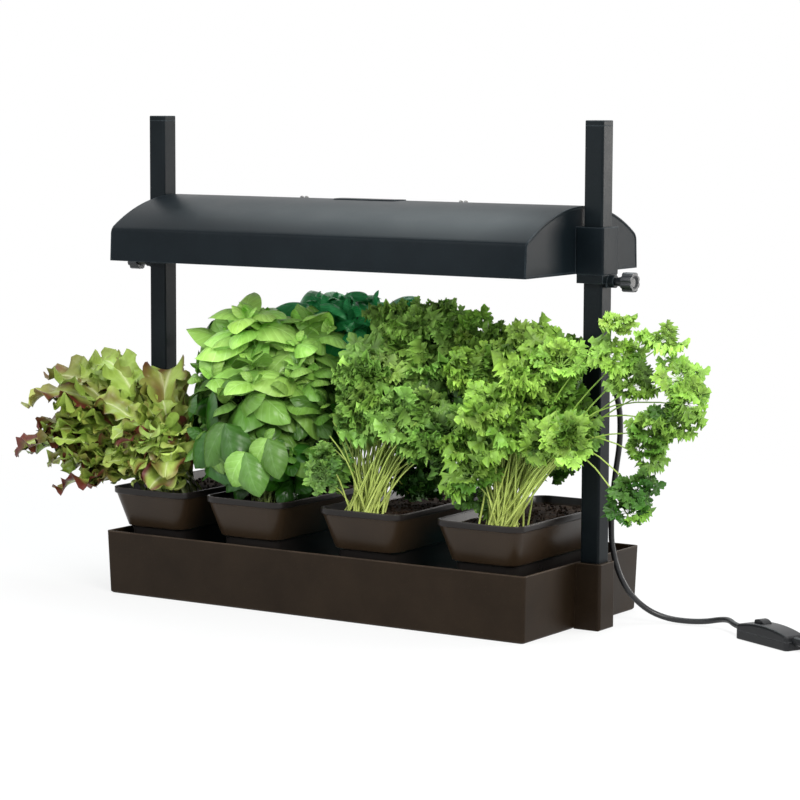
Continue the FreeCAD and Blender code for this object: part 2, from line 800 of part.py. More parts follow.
def make_switch_shells():
    """The lower and upper shells, hollow, with the rocker's window and the cord's two mouths."""
    whole = switch_body()
    length, width, split = size("switch_length"), size("switch_width"), size("switch_split")
    low, top = size("switch_end_height"), size("switch_top")
    wall = 2.0
    inside = [
        Vector(wall + 8, -width / 2 + wall, wall),
        Vector(length - wall - 8, -width / 2 + wall, wall),
        Vector(length - wall - 8, -width / 2 + wall, low - 1.0),
        (Vector(length / 2, -width / 2 + wall, top - wall), Vector(wall + 8, -width / 2 + wall, low - 1.0)),
    ]
    cavity = prism(inside, width - 2 * wall, Vector(0, 1, 0))
    window = Part.makeBox(
        ROCKER_LENGTH + 2.6, ROCKER_WIDTH + 0.6, 20,
        Vector(ROCKER_X - ROCKER_LENGTH / 2 - 1.3, -ROCKER_WIDTH / 2 - 0.3, split + 1),
    )
    axle = Part.makeCylinder(1.55, 18, Vector(ROCKER_X, -9, ROCKER_PIVOT), Vector(0, 1, 0))
    screws = [
        Part.makeCylinder(1.25, 12, Vector(x, 0, 1.8), Vector(0, 0, 1)) for x in (5.5, length - 5.5)
    ]
    heads = [Part.makeCylinder(2.4, 1.8, Vector(x, 0, 0), Vector(0, 0, 1)) for x in (5.5, length - 5.5)]
    hollow = whole.cut([cavity, window, axle] + screws + heads)
    below = Part.makeBox(length + 20, width + 20, split, Vector(-10, -width / 2 - 10, 0))
    above = Part.makeBox(length + 20, width + 20, 40, Vector(-10, -width / 2 - 10, split))
    return on_switch(hollow.common(below)), on_switch(hollow.common(above))


def make_rocker():
    """The rocker, its left end up, on stub axles held in the upper shell's walls."""
    low_middle = Vector(ROCKER_X, -ROCKER_WIDTH / 2, ROCKER_PIVOT - 6.4)
    crown = Part.makeCylinder(16.0, ROCKER_WIDTH, low_middle, Vector(0, 1, 0))
    limits = Part.makeBox(
        ROCKER_LENGTH, ROCKER_WIDTH, 13.5, Vector(ROCKER_X - ROCKER_LENGTH / 2, -ROCKER_WIDTH / 2, ROCKER_PIVOT - 3.2)
    )
    solid = crown.common(limits)
    axle = Part.makeCylinder(1.5, 16.5, Vector(ROCKER_X, -8.25, ROCKER_PIVOT), Vector(0, 1, 0))
    solid = solid.fuse(axle)
    solid.rotate(Vector(ROCKER_X, 0, ROCKER_PIVOT), Vector(0, 1, 0), 7.0)
    return on_switch(solid)


def make_switch_screws():
    length = size("switch_length")
    screws = []
    for x in (5.5, length - 5.5):
        head = Part.makeCylinder(2.3, 1.6, Vector(x, 0, 0.2), Vector(0, 0, 1))
        shank = Part.makeCylinder(1.2, 11.0, Vector(x, 0, 1.8), Vector(0, 0, 1))
        screws.append(head.fuse(shank))
    return on_switch(Part.makeCompound(screws))


def make_switch_relief():
    """The tapered relief on the switch's outgoing end."""
    length, cord = size("switch_length"), size("cord_diameter") / 2
    height = CORD_RUN[-1][2]
    cone = Part.makeCone(5.4, cord + 0.7, 22.0, Vector(length, 0, height), Vector(1, 0, 0))
    return on_switch(cone)


# The coil: half turns spiral in on the table, climb while they reverse, and spiral out on top.
COIL_SIDE_TURNS = 4


def coil_frame():
    """The coil's first point, the way the cord enters it, and the way to its middle."""
    way = Vector(math.cos(math.radians(SWITCH_ANGLE)), math.sin(math.radians(SWITCH_ANGLE)), 0)
    inward = Vector(-way.y, way.x, 0)
    start = SWITCH_START + way * (size("switch_length") + 84.0)
    start.z = size("cord_diameter") / 2 + 0.1
    return start, way, inward


def coil_wire():
    start, way, inward = coil_frame()
    step = size("coil_pitch") / 2
    lift = Vector(0, 0, size("coil_pitch"))
    straight = size("cord_diameter")
    edges = [Part.LineSegment(start - way * straight, start).toShape()]
    radii = [size("coil_outer") - step * n for n in range(COIL_SIDE_TURNS)]
    here, ahead, across = start, way, inward
    for radius in radii:
        end = here + across * (2 * radius)
        top = here + across * radius + ahead * radius
        edges.append(Part.Arc(here, top, end).toShape())
        here, ahead, across = end, ahead * -1, across * -1
    radius = radii[-1] - step
    reach = math.hypot(radius, lift.z / 2)
    end = here + across * (2 * radius) + lift
    corner_in = here + ahead * reach
    corner_out = end + ahead * reach
    middle = (corner_in + corner_out) * 0.5
    edges.append(tangent_arc(here, corner_in, middle))
    edges.append(tangent_arc(middle, corner_out, end))
    here, ahead, across = end, ahead * -1, across * -1
    for radius in reversed(radii):
        end = here + across * (2 * radius)
        top = here + across * radius + ahead * radius
        edges.append(Part.Arc(here, top, end).toShape())
        here, ahead, across = end, ahead * -1, across * -1
    edges.append(Part.LineSegment(here, here + ahead * straight).toShape())
    return Part.Wire(edges), here + ahead * straight, ahead


def tangent_arc(begin, corner, end):
    """An arc tangent to both lines that meet at the corner."""
    back, on = begin - corner, end - corner
    reach = back.Length
    back.normalize()
    on.normalize()
    half_turn = (math.pi - back.getAngle(on)) / 2
    radius = reach / math.tan(half_turn)
    toward = back + on
    toward.normalize()
    centre = corner + toward * (radius / math.cos(half_turn))
    return Part.Arc(begin, centre - toward * radius, end).toShape()


def least_gap(wire, diameter):
    """The least gap between stretches of the tube that are more than a half turn apart."""
    apart = 3.0
    points = wire.discretize(Distance=apart)
    skip = int(math.pi * size("coil_outer") * 0.6 / apart)
    least = min(
        (points[i] - points[j]).Length
        for i in range(len(points))
        for j in range(i + skip, len(points))
    )
    return least - diameter


def make_coil():
    wire, end, ahead = coil_wire()
    print(f"coil: least gap {least_gap(wire, size('cord_diameter')):.2f} mm")
    return feature(tube(wire, size("cord_diameter") / 2, "cord_coil")), end, ahead


def make_lead():
    """The short stretch from the switch's relief down to the coil."""
    start, way, inward = coil_frame()
    begin = SWITCH_START + way * (size("switch_length") + 22.0)
    begin.z = CORD_RUN[-1][2]
    end = start - way * size("cord_diameter")
    one = begin + way * 15 + inward * -0.4 + Vector(0, 0, -0.6)
    two = end - way * 14
    return make_cord([tuple(begin), tuple(one), tuple(two), tuple(end)], "cord_lead")


PLUG_THICK = 13.0


def plug_frame(end, ahead):
    """Where the plug's relief begins, low enough for the plug to lie on the table."""
    across = Vector(-ahead.y, ahead.x, 0)
    face = end + ahead * 56.0 + across * 3.0
    face.z = PLUG_THICK / 2 + 0.1
    return face, ahead, across


def make_plug_lead(end, ahead):
    face, way, across = plug_frame(end, ahead)
    one = end + ahead * 16 + across * 0.3
    two = face - way * 16
    return make_cord([tuple(end), tuple(one), tuple(two), tuple(face)], "cord_plug_lead")


def make_plug(end, ahead):
    """A flat two-pin plug: tapered relief, body narrowing to the cord, and two round pins."""
    face, way, across = plug_frame(end, ahead)
    turn = Rotation(Vector(1, 0, 0), way)
    place = Placement(face, turn)
    cord = size("cord_diameter") / 2
    relief = Part.makeCone(cord + 0.7, 5.6, 22.0, Vector(), Vector(1, 0, 0))
    half_back, half_front, thick = 9.0, 17.0, PLUG_THICK
    outline = [
        Vector(22, -half_back, -thick / 2),
        Vector(40, -half_front, -thick / 2),
        Vector(54, -half_front, -thick / 2),
        Vector(54, half_front, -thick / 2),
        Vector(40, half_front, -thick / 2),
        Vector(22, half_back, -thick / 2),
    ]
    body = prism(outline, thick, Vector(0, 0, 1))
    uprights = [e for e in body.Edges if e.BoundBox.ZLength > 1]
    body = body.makeFillet(2.5, uprights)
    body = body.fuse(relief).removeSplitter()
    holes = [Part.makeCylinder(2.0, 8, Vector(46.5, y, 0), Vector(1, 0, 0)) for y in (-9.5, 9.5)]
    body = body.cut(holes)
    pins = []
    for y in (-9.5, 9.5):
        pin = Part.makeCylinder(2.0, 26.0, Vector(46.5, y, 0), Vector(1, 0, 0))
        far = [e for e in pin.Edges if e.BoundBox.XMin > 72.4]
        pins.append(pin.makeChamfer(0.7, far))
    body.Placement = place
    rods = Part.makeCompound(pins)
    rods.Placement = place
    return feature(body), feature(rods)


# The pots, their soil and the plants in them.
def pot_ring(body, name, height, width, depth, radius):
    sketch = new_sketch(body, name, height)
    rounded_rectangle(sketch, width, depth, radius)
    return sketch


MAT_TOP = "(deck_top + mat_thick)"
POT_BODY_WIDTH = "(pot_rim_width - 4)"
POT_BODY_DEPTH = "(pot_rim_depth - 4)"
POT_FOOT_WIDTH = "(pot_bottom_width - 2 * pot_foot_inset)"
POT_FOOT_DEPTH = "(pot_bottom_depth - 2 * pot_foot_inset)"
BAND_BOTTOM = "(pot_top - pot_rim_height)"


def make_pot(x):
    """Rim band, tapering wall, a step in, and a narrower foot down to the mat; hollow."""
    body = new_body("pot")
    foot_low = pot_ring(body, "foot_low", MAT_TOP, f"{POT_FOOT_WIDTH} - 4", f"{POT_FOOT_DEPTH} - 4", "11")
    foot_high = pot_ring(body, "foot_high", "pot_step", POT_FOOT_WIDTH, POT_FOOT_DEPTH, "13")
    loft_between(body, "AdditiveLoft", [foot_low, foot_high])
    wall_low = pot_ring(body, "wall_low", "pot_step", "pot_bottom_width", "pot_bottom_depth", "16")
    wall_high = pot_ring(body, "wall_high", BAND_BOTTOM, POT_BODY_WIDTH, POT_BODY_DEPTH, "pot_rim_corner - 2")
    loft_between(body, "AdditiveLoft", [wall_low, wall_high])
    band = pot_ring(body, "band", BAND_BOTTOM, "pot_rim_width", "pot_rim_depth", "pot_rim_corner")
    rim = body.newObject("PartDesign::Pad", "rim")
    rim.Profile = band
    bind(rim, Length="pot_rim_height")
    doc.recompute()
    cut_low = pot_ring(
        body, "hollow_low", f"{MAT_TOP} + 3",
        f"{POT_FOOT_WIDTH} - 2 * pot_wall - 4", f"{POT_FOOT_DEPTH} - 2 * pot_wall - 4", "9",
    )
    cut_step = pot_ring(
        body, "hollow_step", "pot_step + 2",
        f"{POT_FOOT_WIDTH} - 2 * pot_wall", f"{POT_FOOT_DEPTH} - 2 * pot_wall", "11",
    )
    loft_between(body, "SubtractiveLoft", [cut_low, cut_step])
    low = pot_ring(
        body, "hollow_wall", "pot_step + 2",
        "pot_bottom_width - 2 * pot_wall", "pot_bottom_depth - 2 * pot_wall", "14",
    )
    high = pot_ring(
        body, "hollow_top", "pot_top",
        "pot_rim_width - 2 * pot_wall - 1", "pot_rim_depth - 2 * pot_wall - 1", "pot_rim_corner - 2.5",
    )
    loft_between(body, "SubtractiveLoft", [low, high])
    return at(body, str(x), "pot_y")


def make_soil(x):
    """The soil, standing on the pot's floor and a hair clear of its walls."""
    body = new_body("soil")
    clear = 0.2
    low = pot_ring(
        body, "soil_low", f"{MAT_TOP} + 3",
        f"{POT_FOOT_WIDTH} - 2 * pot_wall - 4 - 2 * {clear}",
        f"{POT_FOOT_DEPTH} - 2 * pot_wall - 4 - 2 * {clear}", "9",
    )
    step = pot_ring(
        body, "soil_step", f"pot_step + 2 + {clear}",
        f"{POT_FOOT_WIDTH} - 2 * pot_wall - 2 * {clear}", f"{POT_FOOT_DEPTH} - 2 * pot_wall - 2 * {clear}", "11",
    )
    loft_between(body, "AdditiveLoft", [low, step])
    share = "((pot_top - soil_below_rim - pot_step - 2) / (pot_top - pot_step - 2))"
    wide = pot_ring(
        body, "soil_wall", f"pot_step + 2 + {clear}",
        f"pot_bottom_width - 2 * pot_wall - 2 * {clear}", f"pot_bottom_depth - 2 * pot_wall - 2 * {clear}", "14",
    )
    grow = f"{share} * (pot_rim_width - 1 - pot_bottom_width)"
    top = pot_ring(
        body, "soil_top", "pot_top - soil_below_rim",
        f"pot_bottom_width - 2 * pot_wall - 2 * {clear} + {grow}",
        f"pot_bottom_depth - 2 * pot_wall - 2 * {clear} + {grow}", "19",
    )
    loft_between(body, "AdditiveLoft", [wide, top])
    return at(body, str(x), "pot_y")


# Each plant is a cloud of rounded clumps of leaf: the middle of each and its radius.
CLUMPS = {
    "lettuce": [
        (-487, -60, 158, 31), (-465, -60, 214, 35), (-439, -30, 238, 45), (-396, -10, 255, 44),
        (-329, -10, 250, 43), (-415, -70, 180, 46), (-356, -60, 194, 57), (-290, -60, 201, 57),
        (-365, -80, 152, 34), (-251, -80, 182, 38),
    ],
    "basil": [
        (-257, 0, 295, 38), (-208, -20, 306, 38), (-146, -30, 323, 44), (-105, 0, 319, 44),
        (-72, 50, 332, 45), (-202, -50, 251, 48), (-124, -60, 257, 59), (-84, -20, 262, 50),
        (-165, -80, 207, 40), (-110, -70, 184, 50), (-74, -60, 170, 40),
    ],
    "front_parsley": [
        (5, -50, 246, 46), (25, -20, 294, 49), (47, 20, 324, 43), (78, 40, 336, 34),
        (71, -50, 231, 55), (96, -10, 266, 46), (26, -60, 190, 38), (85, -60, 178, 40),
    ],
    "rear_parsley": [
        (143, 15, 315, 40), (183, 10, 322, 38), (238, 0, 322, 41), (299, -40, 305, 35),
        (178, -40, 255, 48), (246, -60, 256, 59), (306, -70, 244, 50), (200, -60, 193, 42),
        (267, -60, 182, 47), (320, -80, 192, 34), (361, -85, 289, 36), (391, -75, 308, 34),
        (387, -45, 354, 29), (432, -60, 303, 33), (452, -60, 258, 32), (395, -75, 244, 36),
        (354, -95, 229, 32),
    ],
}
STEM_SPREAD = ((-14, -50), (12, -56), (0, -70), (16, -72), (-18, -62))
# The plants part along upright planes; each crosses Y = PARTING_Y at the X given and leans
# to the left as it runs rearward.
PARTING_Y = -75.0
PARTING_LEAN = -0.45
PARTING_X = (-640.0, -220.0, 0.0, 160.0, 640.0)
PARTING_GAP = 2.0
POST_CLEAR = 6.0


def plant_region(number):
    """The upright slab between two parting planes, above the soil."""
    floor = size("pot_top") - size("soil_below_rim") + 12.0
    front, rear = -260.0, 260.0
    left, right = PARTING_X[number] + PARTING_GAP / 2, PARTING_X[number + 1] - PARTING_GAP / 2
    corners = [
        Vector(left + PARTING_LEAN * (front - PARTING_Y), front, floor),
        Vector(right + PARTING_LEAN * (front - PARTING_Y), front, floor),
        Vector(right + PARTING_LEAN * (rear - PARTING_Y), rear, floor),
        Vector(left + PARTING_LEAN * (rear - PARTING_Y), rear, floor),
    ]
    return prism(corners, 400, Vector(0, 0, 1))


def make_plant(number, kind, x):
    """One plant: its clumps, parted from its neighbours, on a sheaf of stems in the soil."""
    soil_top = size("pot_top") - size("soil_below_rim")
    clumps = [Part.makeSphere(r, Vector(*middle)) for *middle, r in CLUMPS[kind]]
    solid = clumps[0].fuse(clumps[1:]).common(plant_region(number))
    stems = [
        Part.makeCylinder(5.0, 60.0, Vector(x + dx, size("pot_y") + y, soil_top))
        for dx, y in STEM_SPREAD
    ]
    solid = solid.fuse(stems)
    half = size("post_side") / 2 + POST_CLEAR
    for side in (-1, 1):
        corner = Vector(side * size("post_centre") - half, -half, 0)
        solid = solid.cut(Part.makeBox(2 * half, 2 * half, 700, corner))
    cord_way = Part.makeBox(66, 46, 700, Vector(282, half - 1, 0))
    solid = solid.cut(cord_way)
    pieces = sorted(solid.Solids, key=lambda s: s.Volume)
    print(kind, "solids", [round(s.Volume) for s in pieces])
    return feature(pieces[-1])


node(make_tray(), "tray")
node(make_deck(), "pot_deck")
node(make_mat(), "capillary_mat")
node(make_foot_screws(), "foot_screws")
for word, side in (("left", -1), ("right", 1)):
    node(make_foot(side), f"{word}_post_foot")
    node(make_post(side), f"{word}_post")
    node(make_cap(side), f"{word}_post_cap")
    node(make_hood_end(side), f"{word}_hood_end")
    node(make_sleeve(side), f"{word}_clamp_sleeve")
    node(make_knob(side), f"{word}_clamp_knob")
    node(make_lamp_holders(side), f"{word}_lamp_holders")
node(make_hood_shell(), "hood_shell")
node(make_ridge_cover(), "ridge_cover")
node(make_fixture_screws(), "fixture_screws")
node(make_spacers(), "fixture_spacers")
node(make_housing(), "lamp_housing")
node(make_reflector(), "reflector")
node(make_ballast(), "ballast")
node(make_terminal_block(), "terminal_block")
for word, side in (("front", -1), ("rear", 1)):
    node(make_lamp(side), f"{word}_lamp_tube")
    node(make_lamp_caps(side), f"{word}_lamp_caps")
node(make_gland(), "cord_gland")
node(make_cord(CORD_DROP, "cord_drop"), "cord_drop")
node(make_cord(CORD_RUN, "cord_run"), "cord_run")
lower_shell, upper_shell = make_switch_shells()
node(lower_shell, "switch_lower_shell")
node(upper_shell, "switch_upper_shell")
node(make_rocker(), "switch_rocker")
node(make_switch_screws(), "switch_screws")
node(make_switch_relief(), "switch_relief")
node(make_lead(), "cord_lead")
coil, coil_end, coil_way = make_coil()
node(coil, "cord_coil")
node(make_plug_lead(coil_end, coil_way), "cord_plug_lead")
plug_body, plug_pins = make_plug(coil_end, coil_way)
node(plug_body, "plug_body")
node(plug_pins, "plug_pins")
for number, (kind, x) in enumerate(zip(CLUMPS, POT_CENTRES)):
    node(make_pot(x), f"pot_{number + 1}")
    node(make_soil(x), f"soil_{number + 1}")
    node(make_plant(number, kind, x), f"{kind}_plant")

doc.recompute()
for thing in doc.Objects:
    wrong = [state for state in thing.State if state in ("Invalid", "Error")]
    if wrong:
        raise RuntimeError(f"{thing.Name} ({thing.Label}) is {wrong}")
for thing in nodes:
    if thing.Shape.isNull() or not thing.Shape.isValid() or not thing.Shape.Solids:
        raise RuntimeError(f"{thing.Label} has no valid solid")
os.makedirs("parts", exist_ok=True)
for thing in nodes:
    thing.Shape.exportStep(f"parts/{thing.Label}.step")
print(len(nodes), "nodes written")
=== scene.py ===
# %% [markdown]
# Countertop hydroponic garden, dressed for its picture.
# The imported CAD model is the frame: it gives every piece its size and its place, in metres.
# This lesson adds what CAD leaves plain: soft edges, skins and grains, the cord, the soil and
# the living plants. Nothing below moves a CAD piece; a piece is kept and painted, or replaced.

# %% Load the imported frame
import math
import random

import bmesh
import bpy
import numpy as np
from mathutils import Matrix, Vector, noise


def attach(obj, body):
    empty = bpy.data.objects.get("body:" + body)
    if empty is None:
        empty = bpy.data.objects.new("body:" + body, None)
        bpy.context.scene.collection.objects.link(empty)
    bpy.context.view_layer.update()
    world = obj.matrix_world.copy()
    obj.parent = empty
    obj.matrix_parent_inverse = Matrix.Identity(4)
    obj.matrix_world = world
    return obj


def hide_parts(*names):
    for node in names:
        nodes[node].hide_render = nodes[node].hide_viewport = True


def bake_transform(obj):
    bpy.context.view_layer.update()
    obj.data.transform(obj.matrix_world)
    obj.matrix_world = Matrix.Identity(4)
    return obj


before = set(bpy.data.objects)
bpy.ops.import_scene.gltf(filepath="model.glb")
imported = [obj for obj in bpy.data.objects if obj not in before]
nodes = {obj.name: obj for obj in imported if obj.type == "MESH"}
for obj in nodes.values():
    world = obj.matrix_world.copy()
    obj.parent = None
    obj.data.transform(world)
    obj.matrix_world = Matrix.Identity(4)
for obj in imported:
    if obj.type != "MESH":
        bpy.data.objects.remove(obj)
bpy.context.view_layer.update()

MM = 0.001
print(len(nodes), "CAD pieces in the frame")

# %% [markdown]
# The camera stands to the front right, a little above the hood, with a long lens, as in the
# photograph. Its turn is written as three axes, so that the slight roll stays readable.

# %% Camera
def shown(name, data):
    """A new object with this data, in the scene."""
    made = bpy.data.objects.new(name, data)
    bpy.context.scene.collection.objects.link(made)
    return made


def camera_at(place, azimuth, pitch, roll, lens):
    """A camera at place, that looks along azimuth and pitch, in degrees."""
    turn, tilt, lean = (math.radians(value) for value in (azimuth, pitch, roll))
    back = Vector((math.sin(turn) * math.cos(tilt), -math.cos(turn) * math.cos(tilt), math.sin(tilt)))
    right = Vector((math.cos(turn), math.sin(turn), 0))
    up = back.cross(right)
    side = right * math.cos(lean) + up * math.sin(lean)
    top = up * math.cos(lean) - right * math.sin(lean)
    data = bpy.data.cameras.new("camera")
    data.lens = lens
    data.sensor_width = 36.0
    data.clip_start = 0.05
    data.clip_end = 60.0
    camera = shown("camera", data)
    matrix = Matrix((side, top, back)).transposed().to_4x4()
    matrix.translation = Vector(place)
    camera.matrix_world = matrix
    bpy.context.scene.camera = camera
    print("camera looks along", tuple(round(c, 3) for c in -back))


camera_at((1.9271, -2.9025, 0.6372), azimuth=32.9515, pitch=6.29, roll=0.2233, lens=126.70)

# %% [markdown]
# Finishes. Every finish is the one shader with a few nodes before it. Small helpers keep the
# recipes short: they start a finish, add a node, join sockets, and mix or measure values. Colours
# are given as the eye reads them, from 0 to 255, and turned into the shader's linear values.

# %% Colour and node helpers
def tone(red, green, blue):
    """A colour as read off a screen, in the linear values that the shader works in."""
    linear = []
    for value in (red, green, blue):
        share = value / 255
        linear.append(share / 12.92 if share <= 0.04045 else ((share + 0.055) / 1.055) ** 2.4)
    return (*linear, 1.0)


def new_finish(name, colour, roughness, specular=0.5, metallic=0.0):
    """A material with its constant values set on the shader's own sockets."""
    material = bpy.data.materials.new(name)
    material.use_nodes = True
    surface = material.node_tree.nodes["Principled BSDF"]
    surface.inputs["Base Color"].default_value = colour
    surface.inputs["Roughness"].default_value = roughness
    surface.inputs["Specular IOR Level"].default_value = specular
    surface.inputs["Metallic"].default_value = metallic
    return material


def put(material, kind, **values):
    """A new node, with some of its inputs set by name; spaces in a name are written as _."""
    made = material.node_tree.nodes.new("ShaderNode" + kind)
    for word, value in values.items():
        made.inputs[word.replace("_", " ")].default_value = value
    return made


def wire(material, source, target):
    """Joins two sockets."""
    material.node_tree.links.new(source, target)


def surface_of(material):
    """The finish's one shader."""
    return material.node_tree.nodes["Principled BSDF"]


def onto_surface(material, **sockets):
    """Joins sockets to the shader's inputs by name; spaces in a name are written as _."""
    for word, socket in sockets.items():
        wire(material, socket, surface_of(material).inputs[word.replace("_", " ")])


def shaded(colour, factor, lift=0.0):
    """The colour made darker or lighter by a factor, then lifted."""
    return (*(min(1.0, factor * value + lift) for value in colour[:3]), 1.0)


def blend_of(material, factor, low, high):
    """A colour between low and high, each a colour or a socket, by a factor's socket."""
    mix = material.node_tree.nodes.new("ShaderNodeMix")
    mix.data_type = "RGBA"
    wire(material, factor, mix.inputs["Factor"])
    for socket, value in ((mix.inputs[6], low), (mix.inputs[7], high)):
        if isinstance(value, tuple):
            socket.default_value = value
        else:
            wire(material, value, socket)
    return mix.outputs[2]


def ranged(material, source, low, high, to_low, to_high):
    """Turns a value between low and high into one between to_low and to_high."""
    step = put(material, "MapRange", From_Min=low, From_Max=high, To_Min=to_low, To_Max=to_high)
    wire(material, source, step.inputs["Value"])
    return step.outputs["Result"]


def product(material, first, second):
    """The product of two sockets."""
    both = put(material, "Math")
    both.operation = "MULTIPLY"
    wire(material, first, both.inputs[0])
    wire(material, second, both.inputs[1])
    return both.outputs["Value"]


def bumped(material, height, depth_mm, strength=1.0, under=None):
    """Bumps from a height's socket, that stand depth_mm proud."""
    bump = put(material, "Bump", Strength=strength, Distance=depth_mm * MM)
    wire(material, height, bump.inputs["Height"])
    if under is not None:
        wire(material, under, bump.inputs["Normal"])
    return bump.outputs["Normal"]


# %% [markdown]
# Moulded plastic and powder paint are alike to a shader: a fine grain that the mould or the
# powder leaves, slow clouds in tone and gloss from handling and dust, and no pure flat colour.
# The patterns read Object coordinates, so a millimetre in the recipe is one on the object. No real
# edge is sharp: a Bevel node rounds the edges for the light, and where it turns the surface the
# skin is painted lighter: a painted highlight along each edge, together with a little wear.

# %% Skins of plastic and paint
DUST_MM = 1.6


def softened_edges(material, radius_mm):
    """A surface direction with its edges rounded, and how strongly each point is an edge."""
    soft = put(material, "Bevel", Radius=radius_mm * MM).outputs["Normal"]
    alike = put(material, "VectorMath")
    alike.operation = "DOT_PRODUCT"
    wire(material, soft, alike.inputs[0])
    wire(material, put(material, "NewGeometry").outputs["Normal"], alike.inputs[1])
    return soft, ranged(material, alike.outputs["Value"], 0.86, 0.992, 1.0, 0.0)


def skinned(
    name, colour, lighter, roughness, grain_mm, depth_mm, specular=0.5, cloud_mm=70.0, spread=0.07,
    edge_wear_and_highlight=0.6, edge_mm=1.7,
):
    """A moulded or painted skin: grain, clouds of tone and gloss, and edges painted lighter as highlight and
    wear.
    """
    material = new_finish(name, colour, roughness, specular)
    place = put(material, "TexCoord").outputs["Object"]
    fine = put(material, "TexNoise", Scale=1 / (grain_mm * MM), Detail=4.0, Roughness=0.6)
    cloud = put(material, "TexNoise", Scale=1 / (cloud_mm * MM), Detail=5.0, Roughness=0.55)
    dust = put(material, "TexNoise", Scale=1 / (DUST_MM * MM), Detail=2.0)
    for pattern in (fine, cloud, dust):
        wire(material, place, pattern.inputs["Vector"])
    clouds = ranged(material, cloud.outputs["Fac"], 0.3, 0.7, 0.0, 1.0)
    base = blend_of(material, clouds, colour, lighter)
    specks = ranged(material, dust.outputs["Fac"], 0.62, 0.8, 0.0, 0.35)
    soft, edge = softened_edges(material, edge_mm)
    wear_and_highlight_amount = ranged(material, cloud.outputs["Fac"], 0.35, 0.65, 0.35 * edge_wear_and_highlight, edge_wear_and_highlight)
    skin = blend_of(material, specks, base, shaded(lighter, 2.2, 0.004))
    # Painted highlight, with some wear: the skin is painted much lighter where the surface turns at an edge.
    skin = blend_of(material, product(material, edge, wear_and_highlight_amount), skin, shaded(lighter, 5.0, 0.03))
    gloss = ranged(material, cloud.outputs["Fac"], 0.3, 0.7, roughness - spread, roughness + spread)
    grained = bumped(material, fine.outputs["Fac"], depth_mm, 1.0, soft)
    onto_surface(material, Base_Color=skin, Roughness=gloss, Normal=grained)
    return material


brown_plastic = skinned(
    "tray_skin", tone(30, 22, 14), tone(38, 29, 20), 0.42, 0.7, 0.05, 0.09, edge_wear_and_highlight=0.9, edge_mm=2.6
)
pot_plastic = skinned(
    "pot_skin", tone(38, 28, 18), tone(46, 35, 24), 0.3, 1.6, 0.05, 0.22, spread=0.03, edge_wear_and_highlight=0.7, edge_mm=2.2
)
anthracite_paint = skinned(
    "hood_paint", tone(12, 18, 22), tone(18, 25, 29), 0.4, 0.5, 0.04, 0.07, spread=0.03, edge_wear_and_highlight=0.9
)
post_paint = skinned("post_paint", tone(13, 18, 21), tone(19, 25, 28), 0.34, 0.5, 0.03, 0.08, edge_wear_and_highlight=0.9)
black_plastic = skinned("black_skin", tone(19, 20, 22), tone(27, 28, 30), 0.36, 0.6, 0.03, 0.25)
grey_knob = skinned("knob_skin", tone(20, 23, 26), tone(29, 32, 35), 0.3, 0.6, 0.03, 0.4)
white_paint = skinned("enamel_white", tone(196, 196, 192), tone(208, 208, 204), 0.4, 1.2, 0.05)
white_plastic = skinned("holder_white", tone(200, 199, 194), tone(212, 211, 206), 0.42, 1.0, 0.03)
print("skins of plastic and paint ready")

# %% [markdown]
# The pots' rim is blacker than their walls, where the mould is polished. The foot below the step
# is painted darker as shade, where the step and the tray's wall shade it. The height in
# Object coordinates picks them out, and rides with the pot when it is lifted.

# %% Dark bands on the pots
BAND_FADE = 0.4
BAND_STRENGTH = 0.75
RIM_BAND, FOOT_PAINTED_SHADE_BAND = (127.2, 140.0), (40.0, 85.6)


def dark_bands(material, bands_mm, colour):
    """Darkens a skin between each band's two heights."""
    split = put(material, "SeparateXYZ")
    wire(material, put(material, "TexCoord").outputs["Object"], split.inputs["Vector"])
    base = surface_of(material).inputs["Base Color"]
    for low, high in bands_mm:
        above = ranged(
            material, split.outputs["Z"], (low - BAND_FADE) * MM, (low + BAND_FADE) * MM, 0.0, BAND_STRENGTH
        )
        below = ranged(
            material, split.outputs["Z"], (high - BAND_FADE) * MM, (high + BAND_FADE) * MM, 1.0, 0.0
        )
        skin = base.links[0].from_socket
        wire(material, blend_of(material, product(material, above, below), skin, colour), base)


# The rim band is the pot's own black; the foot band is painted shade under the step.
dark_bands(pot_plastic, (RIM_BAND, FOOT_PAINTED_SHADE_BAND), tone(20, 21, 23))
print("dark bands between heights", RIM_BAND, "and", FOOT_PAINTED_SHADE_BAND)

# %% [markdown]
# Bare metals. Sheet aluminium and the screws are bright where the light is; fine lines along the
# rolling direction stretch the reflections, which a Mapping node makes from plain noise.

# %% Metals and lamp glass
def brushed(name, colour, roughness, line_mm, stretch):
    """A rolled or turned metal: noise squeezed across the lines, as bumps and as gloss."""
    material = new_finish(name, colour, roughness, 0.5, 1.0)
    place = put(material, "TexCoord").outputs["Object"]
    squeeze = put(material, "Mapping", Scale=stretch)
    lines = put(material, "TexNoise", Scale=1 / (line_mm * MM), Detail=3.0)
    wire(material, place, squeeze.inputs["Vector"])
    wire(material, squeeze.outputs["Vector"], lines.inputs["Vector"])
    gloss = ranged(material, lines.outputs["Fac"], 0.2, 0.8, roughness - 0.08, roughness + 0.12)
    tarnish = ranged(material, lines.outputs["Fac"], 0.35, 0.75, 0.0, 1.0)
    sheet = blend_of(material, tarnish, shaded(colour, 0.75), colour)
    scored = bumped(material, lines.outputs["Fac"], 0.02)
    onto_surface(material, Base_Color=sheet, Roughness=gloss, Normal=scored)
    return material


